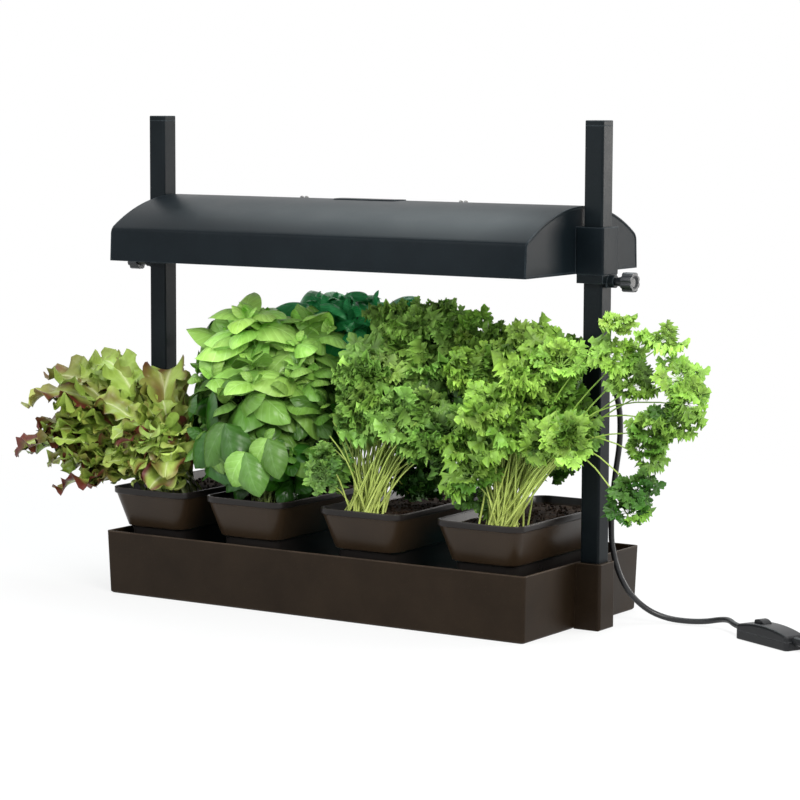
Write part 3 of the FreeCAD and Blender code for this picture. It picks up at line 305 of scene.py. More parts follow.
bright_aluminium = brushed("rolled_aluminium", tone(216, 218, 220), 0.28, 0.6, (0.05, 1.0, 1.0))
steel = brushed("turned_steel", tone(168, 168, 166), 0.34, 0.3, (1.0, 1.0, 0.2))
brass = brushed("turned_brass", tone(206, 178, 110), 0.3, 0.3, (1.0, 1.0, 0.2))
lamp_glass = new_finish("lamp_coating", tone(226, 228, 230), 0.12, 0.5)
glow = put(lamp_glass, "TexNoise", Scale=90.0, Detail=1.0)
wire(lamp_glass, put(lamp_glass, "TexCoord").outputs["Object"], glow.inputs["Vector"])
coating = ranged(lamp_glass, glow.outputs["Fac"], 0.3, 0.7, 0.0, 1.0)
lamp_colour = blend_of(lamp_glass, coating, tone(218, 221, 226), tone(230, 231, 230))
onto_surface(lamp_glass, Base_Color=lamp_colour)
print("metals ready")

# %% [markdown]
# The mat under the pots is teal felt, wetted: short fibres in every direction, with darker damp
# clouds. The cord's jacket is smooth black rubber, satin rather than shiny, slightly dusty.

# %% Felt and rubber
def felted(name, dark, light):
    """Wet needled felt: fibres from stretched noise in two directions, damp clouds."""
    material = new_finish(name, dark, 0.9, 0.25)
    place = put(material, "TexCoord").outputs["Object"]
    fibres = []
    for stretch in ((1.0, 0.12, 1.0), (0.12, 1.0, 1.0)):
        squeeze = put(material, "Mapping", Scale=stretch, Rotation=(0.0, 0.0, 0.6))
        strand = put(material, "TexNoise", Scale=2200.0, Detail=2.0)
        wire(material, place, squeeze.inputs["Vector"])
        wire(material, squeeze.outputs["Vector"], strand.inputs["Vector"])
        fibres.append(strand.outputs["Fac"])
    damp = put(material, "TexNoise", Scale=28.0, Detail=4.0)
    wire(material, place, damp.inputs["Vector"])
    crossed = product(material, *fibres)
    tuft = ranged(material, crossed, 0.12, 0.4, 0.0, 1.0)
    base = blend_of(material, tuft, dark, light)
    wet = ranged(material, damp.outputs["Fac"], 0.42, 0.62, 0.0, 0.7)
    felt = blend_of(material, wet, base, shaded(dark, 0.45))
    sheen = ranged(material, wet, 0.0, 0.7, 0.95, 0.5)
    onto_surface(material, Base_Color=felt, Roughness=sheen, Normal=bumped(material, crossed, 0.5))
    return material


teal_felt = felted("wet_felt", tone(24, 74, 78), tone(64, 128, 130))
cord_rubber = skinned("cord_jacket", tone(17, 18, 20), tone(27, 28, 30), 0.4, 1.1, 0.03, 0.45, 30.0)
print("felt and rubber ready")

# %% [markdown]
# The kept CAD pieces. Posts, caps, screws, lamps, switch and plug have the right shape already,
# so each only has its material slots filled.

# %% Paint the kept CAD pieces
KEPT = {
    brown_plastic: ["pot_deck", "left_post_foot", "right_post_foot"],
    teal_felt: ["capillary_mat"],
    steel: ["foot_screws", "fixture_screws", "fixture_spacers", "switch_screws"],
    post_paint: [
        "left_post", "right_post", "left_post_cap", "right_post_cap", "left_clamp_sleeve",
        "right_clamp_sleeve",
    ],
    anthracite_paint: ["ridge_cover"],
    black_plastic: [
        "cord_gland", "switch_lower_shell", "switch_upper_shell", "switch_rocker", "switch_relief",
        "plug_body",
    ],
    grey_knob: ["left_clamp_knob", "right_clamp_knob"],
    white_paint: ["lamp_housing", "ballast"],
    bright_aluminium: ["reflector", "front_lamp_caps", "rear_lamp_caps"],
    lamp_glass: ["front_lamp_tube", "rear_lamp_tube"],
    white_plastic: ["left_lamp_holders", "right_lamp_holders", "terminal_block"],
    brass: ["plug_pins"],
}


def painted(name, material):
    """Fills every material slot of a CAD piece."""
    for slot in nodes[name].material_slots:
        slot.material = material


for material, names in KEPT.items():
    for name in names:
        painted(name, material)
print(sum(len(names) for names in KEPT.values()), "CAD pieces painted")

# %% [markdown]
# The cord. It is one length of 7 mm round cable: out of the gland, down behind the right post,
# over the table to the switch, then the spare length in a coil of two layers, and its plug. Its line
# is one smooth spline through the route's points. The coil's points come from a loop: four half
# turns inward on the table, one that climbs, and four outward on top.

# %% The cord's route
CORD_DIAMETER = 7.0 * MM
DROP = [
    (291, 34, 424), (291, 34, 386), (298, 34.3, 346), (316, 35, 310), (334, 35.5, 270),
    (336.5, 35.5, 226), (329.5, 35.5, 182), (324.5, 36, 139), (324.5, 36.7, 118),
]
RUN = [
    (324.5, 37.4, 97), (331, 42.5, 62), (343, 52, 34.5), (360, 64, 15.5), (381, 75, 5.8),
    (406, 80, 4.2), (430, 81.5, 6.2), (449, 80, 11), (466, 71, 14), (480.6, 56.9, 11.4),
]
SWITCH_START = Vector((496.6, 49.2, 0))
SWITCH_WAY = Vector((math.cos(math.radians(-25.65)), math.sin(math.radians(-25.65)), 0))
SWITCH_LENGTH = 94.0
RELIEF_LENGTH = 22.0
CORD_HEIGHT = 11.0
COIL_OUTER = 45.0
COIL_PITCH = 7.7
COIL_SIDE_TURNS = 4
COIL_STEPS = 12
COIL_AFTER_SWITCH = 84.0
PLUG_HEIGHT = 6.6


def along_switch(distance, height, aside=0.0):
    """A point on the switch's middle line, or aside of it, in millimetres."""
    inward = Vector((-SWITCH_WAY.y, SWITCH_WAY.x, 0))
    point = SWITCH_START + SWITCH_WAY * distance + inward * aside
    return (point.x, point.y, height)


def half_turn(points, here, ahead, across, radius, low, high):
    """Adds a half turn to the route and returns where it ends; it climbs from low to high."""
    middle = here + across * radius
    reach = radius / (0.75 + 0.25 * math.cos(math.pi / COIL_STEPS))
    for step in range(COIL_STEPS):
        angle = math.pi * (step + 0.5) / COIL_STEPS
        point = middle - across * (reach * math.cos(angle)) + ahead * (reach * math.sin(angle))
        height = low + (high - low) * (step + 0.5) / COIL_STEPS
        points.append((point.x, point.y, height))
    return here + across * (2 * radius)


def cord_route():
    """Every point of the cord's middle line, in metres."""
    points = DROP + RUN
    points += [along_switch(distance, CORD_HEIGHT) for distance in (0, 30, 64, 94, 116)]
    low = CORD_DIAMETER / MM / 2 + 0.1
    coil_at = SWITCH_LENGTH + COIL_AFTER_SWITCH
    points.append(along_switch(SWITCH_LENGTH + RELIEF_LENGTH + 15, CORD_HEIGHT - 0.6, -0.4))
    points.append(along_switch(coil_at - 21, low))
    points.append(along_switch(coil_at - 7, low))
    here = Vector(along_switch(coil_at, 0))
    ahead, across = SWITCH_WAY.copy(), Vector((-SWITCH_WAY.y, SWITCH_WAY.x, 0))
    top = low + COIL_PITCH
    radii = [COIL_OUTER - COIL_PITCH / 2 * number for number in range(COIL_SIDE_TURNS)]
    levels = [(low, low)] * COIL_SIDE_TURNS + [(low, top)] + [(top, top)] * COIL_SIDE_TURNS
    turns = radii + [radii[-1] - COIL_PITCH / 2] + radii[::-1]
    for radius, (from_height, to_height) in zip(turns, levels):
        here = half_turn(points, here, ahead, across, radius, from_height, to_height)
        ahead, across = -ahead, -across
    side = Vector((-ahead.y, ahead.x, 0))
    end = here + ahead * 7
    face = end + ahead * 56 + side * 3
    points.append((end.x, end.y, top))
    for point, height in (
        (end + ahead * 16 + side * 0.3, top), (face - ahead * 16, PLUG_HEIGHT), (face, PLUG_HEIGHT),
    ):
        points.append((point.x, point.y, height))
    return [Vector(point) * MM for point in points]


route = cord_route()
print(len(route), "points in the cord's route")

# %% Draw the cord
def drawn_line(points, name, thickness=0.0):
    """An open smooth curve with these control points; with a thickness it is a tube."""
    curve = bpy.data.curves.new(name, "CURVE")
    curve.dimensions = "3D"
    curve.resolution_u = 5
    line = curve.splines.new("NURBS")
    line.points.add(len(points) - 1)
    for place, point in zip(line.points, points):
        place.co = (*point, 1.0)
    line.order_u = 3
    line.use_endpoint_u = True
    curve.bevel_depth = thickness / 2
    curve.bevel_resolution = 5
    curve.use_fill_caps = True
    return curve


def mesh_of(curve):
    """The curve as a mesh; the object that shows it is thrown away."""
    line = shown(curve.name, curve)
    bpy.context.view_layer.update()
    drawn = line.evaluated_get(bpy.context.evaluated_depsgraph_get())
    mesh = bpy.data.meshes.new_from_object(drawn)
    bpy.data.objects.remove(line)
    return mesh


centreline = [v.co.copy() for v in mesh_of(drawn_line(route, "cord_line")).vertices]
cord_length = sum((b - a).length for a, b in zip(centreline, centreline[1:]))
cord = shown("mains_cord", mesh_of(drawn_line(route, "cord_tube", CORD_DIAMETER)))
cord.data.materials.clear()
cord.data.materials.append(cord_rubber)
cord.data.shade_smooth()
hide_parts("cord_drop", "cord_run", "cord_lead", "cord_coil", "cord_plug_lead")
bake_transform(cord)
print(f"the cord is {cord_length:.3f} m long")

# %% [markdown]
# Moulded pieces all end in the same way: faces turned outward, smooth shading that breaks at the
# real edges, a small rounding of every sharp edge where the light catches, a material, and the
# body that the piece moves with.

# %% Finish a modelled piece
def finished(bm, name, material, body, stands_for, rounding_mm=0.0, wall_mm=0.0):
    """Turns a bmesh into a piece of the garden."""
    bmesh.ops.remove_doubles(bm, verts=bm.verts, dist=1e-6)
    bmesh.ops.recalc_face_normals(bm, faces=bm.faces)
    mesh = bpy.data.meshes.new(name)
    bm.to_mesh(mesh)
    bm.free()
    mesh.materials.append(material)
    piece = shown(name, mesh)
    if wall_mm:
        wall = piece.modifiers.new("wall", "SOLIDIFY")
        wall.thickness = wall_mm * MM
        wall.offset = -1.0
        wall.use_even_offset = True
    if rounding_mm:
        soft = piece.modifiers.new("soft_edges", "BEVEL")
        soft.width = rounding_mm * MM
        soft.segments = 3
        soft.limit_method = "ANGLE"
        soft.angle_limit = math.radians(28)
        soft.harden_normals = False
    mesh.shade_smooth()
    mesh.set_sharp_from_angle(angle=math.radians(40))
    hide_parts(stands_for)
    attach(piece, body)
    print(f"{name}: {len(mesh.polygons)} faces")
    return piece


# %% [markdown]
# Tubs: the tray and the four pots. Each is drawn the way it leaves its mould: a flat rounded
# rectangle is the underside, and it is drawn up through rings, over the rim and down again
# inside, so the wall, the rim and the floor are one closed skin.

# %% A tub drawn through rings
def rounded_off(bm, geom, radius_mm, segments, affect="EDGES"):
    """Rounds edges or corners in place."""
    bmesh.ops.bevel(
        bm, geom=geom, offset=radius_mm * MM, segments=segments, profile=0.5, affect=affect, material=-1
    )


def rounded_sheet(half_x, half_y, corner, z):
    """One flat face with four rounded corners, in millimetres."""
    bm = bmesh.new()
    bmesh.ops.create_grid(bm, x_segments=1, y_segments=1, size=1.0)
    bmesh.ops.scale(bm, vec=(half_x * MM, half_y * MM, 1), verts=bm.verts)
    rounded_off(bm, bm.verts[:], corner, 6, "VERTICES")
    bmesh.ops.translate(bm, vec=(0, 0, z * MM), verts=bm.verts)
    return bm


def drawn_through(bm, here, rings):
    """Draws the last face through rings of half width, half depth and height, in millimetres."""
    underside = face = bm.faces[:][0]
    for ring in rings:
        made = bmesh.ops.extrude_face_region(bm, geom=[face])
        if face != underside:
            bmesh.ops.delete(bm, geom=[face], context="FACES_ONLY")
        face = next(item for item in made["geom"] if isinstance(item, bmesh.types.BMFace))
        factor = (ring[0] / here[0], ring[1] / here[1], 1)
        bmesh.ops.scale(bm, vec=factor, verts=face.verts)
        bmesh.ops.translate(bm, vec=(0, 0, (ring[2] - here[2]) * MM), verts=face.verts)
        here = ring
    return face


TRAY_LENGTH, TRAY_DEPTH, TRAY_HEIGHT, TRAY_DRAFT, TRAY_WALL = 615.0, 278.0, 80.0, 2.5, 2.5


def make_tray():
    """The long thin-walled trough."""
    half_x, half_y = TRAY_LENGTH / 2, TRAY_DEPTH / 2
    base_x, base_y = half_x - TRAY_DRAFT, half_y - TRAY_DRAFT
    start = (base_x - 2, base_y - 2, 0.0)
    bm = rounded_sheet(start[0], start[1], 4.0, 0.0)
    drawn_through(bm, start, [
        (base_x, base_y, 2.0),
        (half_x, half_y, TRAY_HEIGHT),
        (half_x - TRAY_WALL, half_y - TRAY_WALL, TRAY_HEIGHT),
        (base_x - TRAY_WALL, base_y - TRAY_WALL, TRAY_WALL),
    ])
    return finished(bm, "tray_moulding", brown_plastic, "base", "tray", 0.7)


make_tray()

# %% The four pots
POT_CENTRES = (-249.0, -102.5, 69.0, 236.0)
POT_Y = -7.0
POT_FOOT = (39.75, 105.25, 44.0)
POT_CORNER = 13.0


def make_pot(number, x):
    """Foot, step, flared wall, rim band and the hollow."""
    bm = rounded_sheet(POT_FOOT[0], POT_FOOT[1], POT_CORNER, POT_FOOT[2])
    drawn_through(bm, POT_FOOT, [
        (41.75, 107.25, 84.0),
        (43.0, 108.5, 85.0),
        (45.75, 111.25, 86.0),
        (57.0, 123.0, 127.0),
        (58.6, 124.6, 127.4),
        (59.0, 125.0, 128.2),
        (59.0, 125.0, 135.0),
        (56.8, 122.8, 135.0),
        (54.6, 120.6, 126.0),
        (43.5, 109.0, 87.0),
        (39.6, 105.0, 86.0),
        (37.6, 103.0, 47.0),
    ])
    bmesh.ops.translate(bm, vec=(x * MM, POT_Y * MM, 0), verts=bm.verts)
    return finished(
        bm, f"pot_{number}_moulding", pot_plastic, f"planted_pot_{number}", f"pot_{number}",
        0.6,
    )


for number, x in enumerate(POT_CENTRES, start=1):
    make_pot(number, x)

# %% [markdown]
# The hood. The real one is a bent sheet: two skirts, two narrow shoulders and one long arch. The
# arch is a single point spun about the arch's axis; its ends are drawn down for the skirts and in
# for the hems, the line is swept along the hood, and the shoulders are rounded.

# %% Hood shell
HOOD_HALF = 302.5
HOOD_BOTTOM, HOOD_SHOULDER, HOOD_RIDGE = 422.5, 462.5, 502.0
HOOD_HALF_TOP, HOOD_HALF_BOTTOM = 132.0, 134.0
HOOD_SHEET, HOOD_HEM, SHOULDER_ROUNDING = 1.4, 4.0, 2.6
END_PANEL = 1.5
ARCH_RISE = HOOD_RIDGE - HOOD_SHOULDER
ARCH_RADIUS = (HOOD_HALF_TOP**2 + ARCH_RISE**2) / (2 * ARCH_RISE)


def hood_line(bm, x):
    """The hood's section at x as a chain of points from skirt to skirt, in order."""
    first = bm.verts.new((x * MM, -HOOD_HALF_TOP * MM, HOOD_SHOULDER * MM))
    half_angle = math.asin(HOOD_HALF_TOP / ARCH_RADIUS)
    bmesh.ops.spin(
        bm, geom=[first], cent=(x * MM, 0, (HOOD_RIDGE - ARCH_RADIUS) * MM), axis=(1, 0, 0),
        angle=-2 * half_angle, steps=44,
    )
    chain = sorted(bm.verts, key=lambda v: v.co.y)
    for end, way in ((chain[0], -1), (chain[-1], 1)):
        drawn = bmesh.ops.extrude_vert_indiv(bm, verts=[end])["verts"][0]
        drawn.co = Vector((x, way * HOOD_HALF_BOTTOM, HOOD_BOTTOM)) * MM
    return chain


def make_hood_shell():
    """Skirts, hems, shoulders and arch, swept from one end panel to the other."""
    bm = bmesh.new()
    hood_line(bm, -HOOD_HALF + END_PANEL)
    low = [v for v in bm.verts if v.co.z < (HOOD_BOTTOM + 1) * MM]
    for vert in low:
        hem = bmesh.ops.extrude_vert_indiv(bm, verts=[vert])["verts"][0]
        hem.co.y -= math.copysign(HOOD_HEM * MM, hem.co.y)
    swept = bmesh.ops.extrude_edge_only(bm, edges=bm.edges[:])["geom"]
    moved = [item for item in swept if isinstance(item, bmesh.types.BMVert)]
    bmesh.ops.translate(bm, vec=(2 * (HOOD_HALF - END_PANEL) * MM, 0, 0), verts=moved)
    shoulders = [
        e for e in bm.edges
        if abs(e.verts[0].co.x - e.verts[1].co.x) > 0.1
        and all(abs(v.co.z - HOOD_SHOULDER * MM) < 1e-4 for v in e.verts)
    ]
    rounded_off(bm, shoulders, SHOULDER_ROUNDING, 4)
    lengthwise = [e for e in bm.edges if abs(e.verts[0].co.x - e.verts[1].co.x) > 0.1]
    bmesh.ops.subdivide_edges(bm, edges=lengthwise, cuts=7)
    print(len(shoulders), "shoulder edges rounded")
    return finished(
        bm, "hood_sheet", anthracite_paint, "hood", "hood_shell", 0.4, HOOD_SHEET
    )


make_hood_shell()

# %% [markdown]
# Each end of the hood is a flat panel with the same outline, and a collar that slides on the
# post. The collar is a block with a square hole: both its ends are inset, the inset faces are
# taken out and the two loops are bridged.

# %% Hood ends and their collars
POST_X, POST_HOLE = 322.0, 25.6
COLLAR_OVERLAP, COLLAR_FAR, COLLAR_TOP, COLLAR_CORNER = 0.8, 339.0, 478.0, 2.5
COLLAR_FRONT, COLLAR_BACK = -18.0, 20.0


def bored_block(bm, low, high, middle, hole, corner):
    """Adds a block from low to high with a square hole of this side down through middle."""
    before = set(bm.verts)
    size = Vector(high) - Vector(low)
    centre = (Vector(high) + Vector(low)) / 2
    bmesh.ops.create_cube(bm, size=1.0)
    fresh = [v for v in bm.verts if v not in before]
    bmesh.ops.scale(bm, vec=size * MM, verts=fresh)
    bmesh.ops.translate(bm, vec=centre * MM, verts=fresh)
    faces = {f for v in fresh for f in v.link_faces}
    ends = [f for f in faces if abs(f.normal.z) > 0.9]
    for face in ends:
        bmesh.ops.inset_region(bm, faces=[face], thickness=3.0 * MM)
        for v in face.verts:
            v.co.x = (middle[0] + math.copysign(hole / 2, v.co.x / MM - centre.x)) * MM
            v.co.y = (middle[1] + math.copysign(hole / 2, v.co.y / MM - centre.y)) * MM
    loops = [e for face in ends for e in face.edges]
    bmesh.ops.delete(bm, geom=ends, context="FACES_ONLY")
    bmesh.ops.bridge_loops(bm, edges=loops)
    block = {v for v in bm.verts if v not in before}
    uprights = [
        e for e in bm.edges
        if e.verts[0] in block and abs(e.verts[0].co.z - e.verts[1].co.z) > 1 * MM
        and abs(e.verts[0].co.x / MM - centre.x) > size.x / 2 - 0.1
        and abs(e.verts[0].co.y / MM - centre.y) > size.y / 2 - 0.1
    ]
    rounded_off(bm, uprights, corner, 5)


def make_hood_end(side, word):
    """The end panel, a thin raised rim round it, and the collar."""
    bm = bmesh.new()
    hood_line(bm, side * (HOOD_HALF - END_PANEL))
    low = [v for v in bm.verts if v.co.z < (HOOD_BOTTOM + 1) * MM]
    bmesh.ops.contextual_create(bm, geom=low)
    panel = bmesh.ops.contextual_create(bm, geom=bm.edges[:])["faces"][0]
    corners = [v for v in panel.verts if abs(v.co.z - HOOD_SHOULDER * MM) < 1e-4]
    rounded_off(bm, corners, 6.0, 6, "VERTICES")
    panel = bm.faces[:][0]
    made = bmesh.ops.extrude_face_region(bm, geom=[panel])
    outer = next(item for item in made["geom"] if isinstance(item, bmesh.types.BMFace))
    bmesh.ops.translate(bm, vec=(side * END_PANEL * MM, 0, 0), verts=outer.verts)
    bmesh.ops.recalc_face_normals(bm, faces=bm.faces)
    bmesh.ops.inset_region(bm, faces=[outer], thickness=2.2 * MM, depth=0)
    bmesh.ops.inset_region(bm, faces=[outer], thickness=0.6 * MM, depth=0)
    bmesh.ops.translate(bm, vec=(-side * 0.8 * MM, 0, 0), verts=outer.verts)
    near, far = HOOD_HALF - COLLAR_OVERLAP, COLLAR_FAR
    low_x, high_x = (near, far) if side > 0 else (-far, -near)
    low, high = (low_x, COLLAR_FRONT, HOOD_BOTTOM), (high_x, COLLAR_BACK, COLLAR_TOP)
    bored_block(bm, low, high, (side * POST_X, 0), POST_HOLE, COLLAR_CORNER)
    return finished(
        bm, f"{word}_hood_panel", anthracite_paint, "hood", f"{word}_hood_end", 0.5
    )


for side, word in ((-1, "left"), (1, "right")):
    make_hood_end(side, word)

# %% [markdown]
# Soil. Potting soil is dark, damp and crumbly. A grid is pressed into the pot's rounded outline
# and heaved up and down by noise; over it lie a few hundred crumbs of a few faces each.

# %% Soil in the pots
def soil_material():
    """Dark damp earth with paler chips of bark."""
    material = new_finish("damp_soil", tone(38, 28, 21), 0.92, 0.2)
    place = put(material, "TexCoord").outputs["Object"]
    clods = put(material, "TexVoronoi", Scale=260.0)
    damp = put(material, "TexNoise", Scale=45.0, Detail=6.0, Roughness=0.7)
    bark = put(material, "TexNoise", Scale=420.0, Detail=4.0)
    for pattern in (clods, damp, bark):
        wire(material, place, pattern.inputs["Vector"])
    wet = ranged(material, damp.outputs["Fac"], 0.35, 0.65, 0.0, 1.0)
    earth = blend_of(material, wet, tone(24, 18, 14), tone(58, 43, 32))
    chips = ranged(material, bark.outputs["Fac"], 0.6, 0.72, 0.0, 0.6)
    rough = bumped(material, damp.outputs["Fac"], 1.5)
    onto_surface(
        material,
        Base_Color=blend_of(material, chips, earth, tone(96, 74, 54)),
        Normal=bumped(material, clods.outputs["Distance"], 1.2, 1.0, rough),
    )
    return material


potting_soil = soil_material()
SOIL_TOP, SOIL_DEPTH = 126.0, 14.0
CRUMBS = 260
# Each pot reads its own stretch of the noise, this far from the last.
NOISE_STEP = 200


def make_soil(number, x):
    """The heaved surface, a skirt down inside the pot, and the crumbs."""
    seed = random.Random(40 + number)
    half_x, half_y, corner = 54.2, 120.2, 17.0
    bm = bmesh.new()
    bmesh.ops.create_grid(bm, x_segments=34, y_segments=74, size=1.0)
    for v in bm.verts:
        v.co.x *= half_x
        v.co.y *= half_y
        past_x, past_y = abs(v.co.x) - (half_x - corner), abs(v.co.y) - (half_y - corner)
        if past_x > 0 and past_y > 0:
            reach = math.hypot(past_x, past_y)
            furthest = max(past_x, past_y)
            v.co.x = math.copysign(half_x - corner + past_x * furthest / reach, v.co.x)
            v.co.y = math.copysign(half_y - corner + past_y * furthest / reach, v.co.y)
        place = Vector((v.co.x + NOISE_STEP * number, v.co.y, 0))
        heave = 2.6 * noise.noise(place / 26) + 1.6 * noise.noise(place / 9) + 0.9 * noise.noise(place / 4)
        v.co.z = SOIL_TOP - 1.0 + heave
    rim = [e for e in bm.edges if e.is_boundary]
    skirt = bmesh.ops.extrude_edge_only(bm, edges=rim)["geom"]
    low = [item for item in skirt if isinstance(item, bmesh.types.BMVert)]
    for v in low:
        v.co.x *= 0.97
        v.co.y *= 0.985
        v.co.z = SOIL_TOP - SOIL_DEPTH
    hem = [item for item in skirt if isinstance(item, bmesh.types.BMEdge) and item.is_boundary]
    bmesh.ops.edgeloop_fill(bm, edges=hem)
    for _ in range(CRUMBS):
        spot = (seed.uniform(-48, 48), seed.uniform(-112, 112))
        lift = 2.6 * noise.noise(Vector((spot[0] + NOISE_STEP * number, spot[1], 0)) / 26)
        size = seed.uniform(0.8, 2.4)
        turn = Matrix.Rotation(seed.uniform(0, 6.28), 4, (seed.random(), seed.random(), 0.4))
        place = Matrix.Translation((spot[0], spot[1], SOIL_TOP - 0.6 + lift + size * 0.4))
        flat = Matrix.Diagonal((size * seed.uniform(0.8, 1.7), size, size * seed.uniform(0.5, 0.9), 1))
        bmesh.ops.create_icosphere(bm, subdivisions=1, radius=1.0, matrix=place @ turn @ flat)
    bmesh.ops.scale(bm, vec=(MM, MM, MM), verts=bm.verts)
    bmesh.ops.translate(bm, vec=(x * MM, POT_Y * MM, 0), verts=bm.verts)
    return finished(
        bm, f"crumbly_soil_{number}", potting_soil, f"planted_pot_{number}", f"soil_{number}",
    )


for number, x in enumerate(POT_CENTRES, start=1):
    make_soil(number, x)

# %% [markdown]
# Leaves share one recipe. Each leaf carries its own colour as an attribute, and a flat map: u runs
# across the blade and v along it. From those the material draws a pale midrib and side veins, and
# lifts the skin between them, so that the quilted look of a real leaf follows its shape.

# %% Leaf materials
def leafy(name, gloss, veins, slant, quilt_mm, paleness, specular=0.4):
    """A leaf skin: tint from the leaf, veins from its flat map, fine grain from real space."""
    material = new_finish(name, tone(90, 140, 60), gloss, specular)
    nodes_of = material.node_tree.nodes
    tint = nodes_of.new("ShaderNodeAttribute")
    tint.attribute_name = "tint"
    flat = nodes_of.new("ShaderNodeUVMap")
    flat.uv_map = "leaf"
    split = nodes_of.new("ShaderNodeSeparateXYZ")
    wire(material, flat.outputs["UV"], split.inputs["Vector"])

    def worked(operation, first, second=None):
        step = nodes_of.new("ShaderNodeMath")
        step.operation = operation
        for socket, value in zip(step.inputs, (first, second)):
            if isinstance(value, (int, float)):
                socket.default_value = value
            elif value is not None:
                wire(material, value, socket)
        return step.outputs[0]

    off_middle = worked("ABSOLUTE", worked("SUBTRACT", split.outputs["X"], 0.5))
    midrib = ranged(material, off_middle, 0.0, 0.035, 1.0, 0.0)
    up_the_leaf = worked("MULTIPLY", split.outputs["Y"], veins)
    slanting = worked("SUBTRACT", up_the_leaf, worked("MULTIPLY", off_middle, slant))
    wave = worked("COSINE", worked("MULTIPLY", slanting, math.tau))
    side_veins = ranged(material, wave, 0.9, 1.0, 0.0, 0.55)
    vein = worked("MAXIMUM", midrib, side_veins)
    place = put(material, "TexCoord").outputs["Object"]
    cells = put(material, "TexNoise", Scale=900.0, Detail=3.0)
    clouds = put(material, "TexNoise", Scale=60.0, Detail=3.0)
    for pattern in (cells, clouds):
        wire(material, place, pattern.inputs["Vector"])
    shade = put(material, "HueSaturation", Saturation=1.05, Value=0.8)
    wire(material, tint.outputs["Color"], shade.inputs["Color"])
    patch = ranged(material, clouds.outputs["Fac"], 0.35, 0.65, 0.0, 1.0)
    skin = blend_of(material, patch, shade.outputs["Color"], tint.outputs["Color"])
    light = put(material, "HueSaturation", Saturation=0.8, Value=1.45)
    wire(material, tint.outputs["Color"], light.inputs["Color"])
    pale = worked("MULTIPLY", vein, paleness)
    blade = blend_of(material, pale, skin, light.outputs["Color"])
    sheen = ranged(material, clouds.outputs["Fac"], 0.3, 0.7, gloss - 0.07, gloss + 0.1)
    grain = bumped(material, cells.outputs["Fac"], 0.1)
    pillow = worked("SUBTRACT", ranged(material, wave, -1.0, 1.0, 1.0, 0.0), worked("MULTIPLY", midrib, 0.8))
    quilted = bumped(material, pillow, quilt_mm, 0.6, grain)
    onto_surface(material, Base_Color=blade, Roughness=sheen, Normal=quilted)
    return material


basil_leaf = leafy("basil_skin", 0.34, 5.0, 3.0, 0.6, 0.42, 0.35)
parsley_leaf = leafy("parsley_skin", 0.5, 4.0, 2.5, 0.25, 0.12)
lettuce_leaf = leafy("lettuce_skin", 0.42, 8.0, 5.0, 0.6, 0.2)
print("leaf materials ready")

# %% [markdown]
# Room for the plants. The four plants part along upright planes; single leaves reach a little over
# them, as in any bed of herbs, but over a neighbour's pot only above the height that it is lifted
# to. All leaves stay clear of the posts, the cord, the lamp hood's lowest place and the pots' rims.
# One test answers for any set of points.

# %% Where foliage may be
PARTING_AT_Y = (-160.0, 30.0, 110.0)
PARTING_X = (
    (-640.0, -640.0, -640.0), (-182.0, -267.0, -303.0), (38.0, -47.0, 26.0), (198.0, 113.0, 77.0),
    (640.0, 640.0, 640.0),
)
FOLIAGE_TOP, FOLIAGE_FRONT, FOLIAGE_REAR = 386.0, -150.0, 136.0
NEXT_POT_LIFTED = 170.0
POST_CLEARANCE = 17.0
CORD_LEFT, CORD_RIGHT, CORD_FRONT, CORD_BACK = 284.0, 347.0, 18.0, 60.0
KNOB_FROM_X, KNOB_HALF_Y, KNOB_FROM_Z = 338.0, 20.0, 372.0
RIM_HALF_X, RIM_HALF_Y, ABOVE_RIMS = 62.0, 128.0, 139.0
MOUTH_HALF_X, MOUTH_HALF_Y, ABOVE_SOIL = 50.0, 114.0, 121.0
BEFORE_TRAY_Y, BESIDE_TRAY_X, ABOVE_TRAY = -137.0, -313.0, 96.0
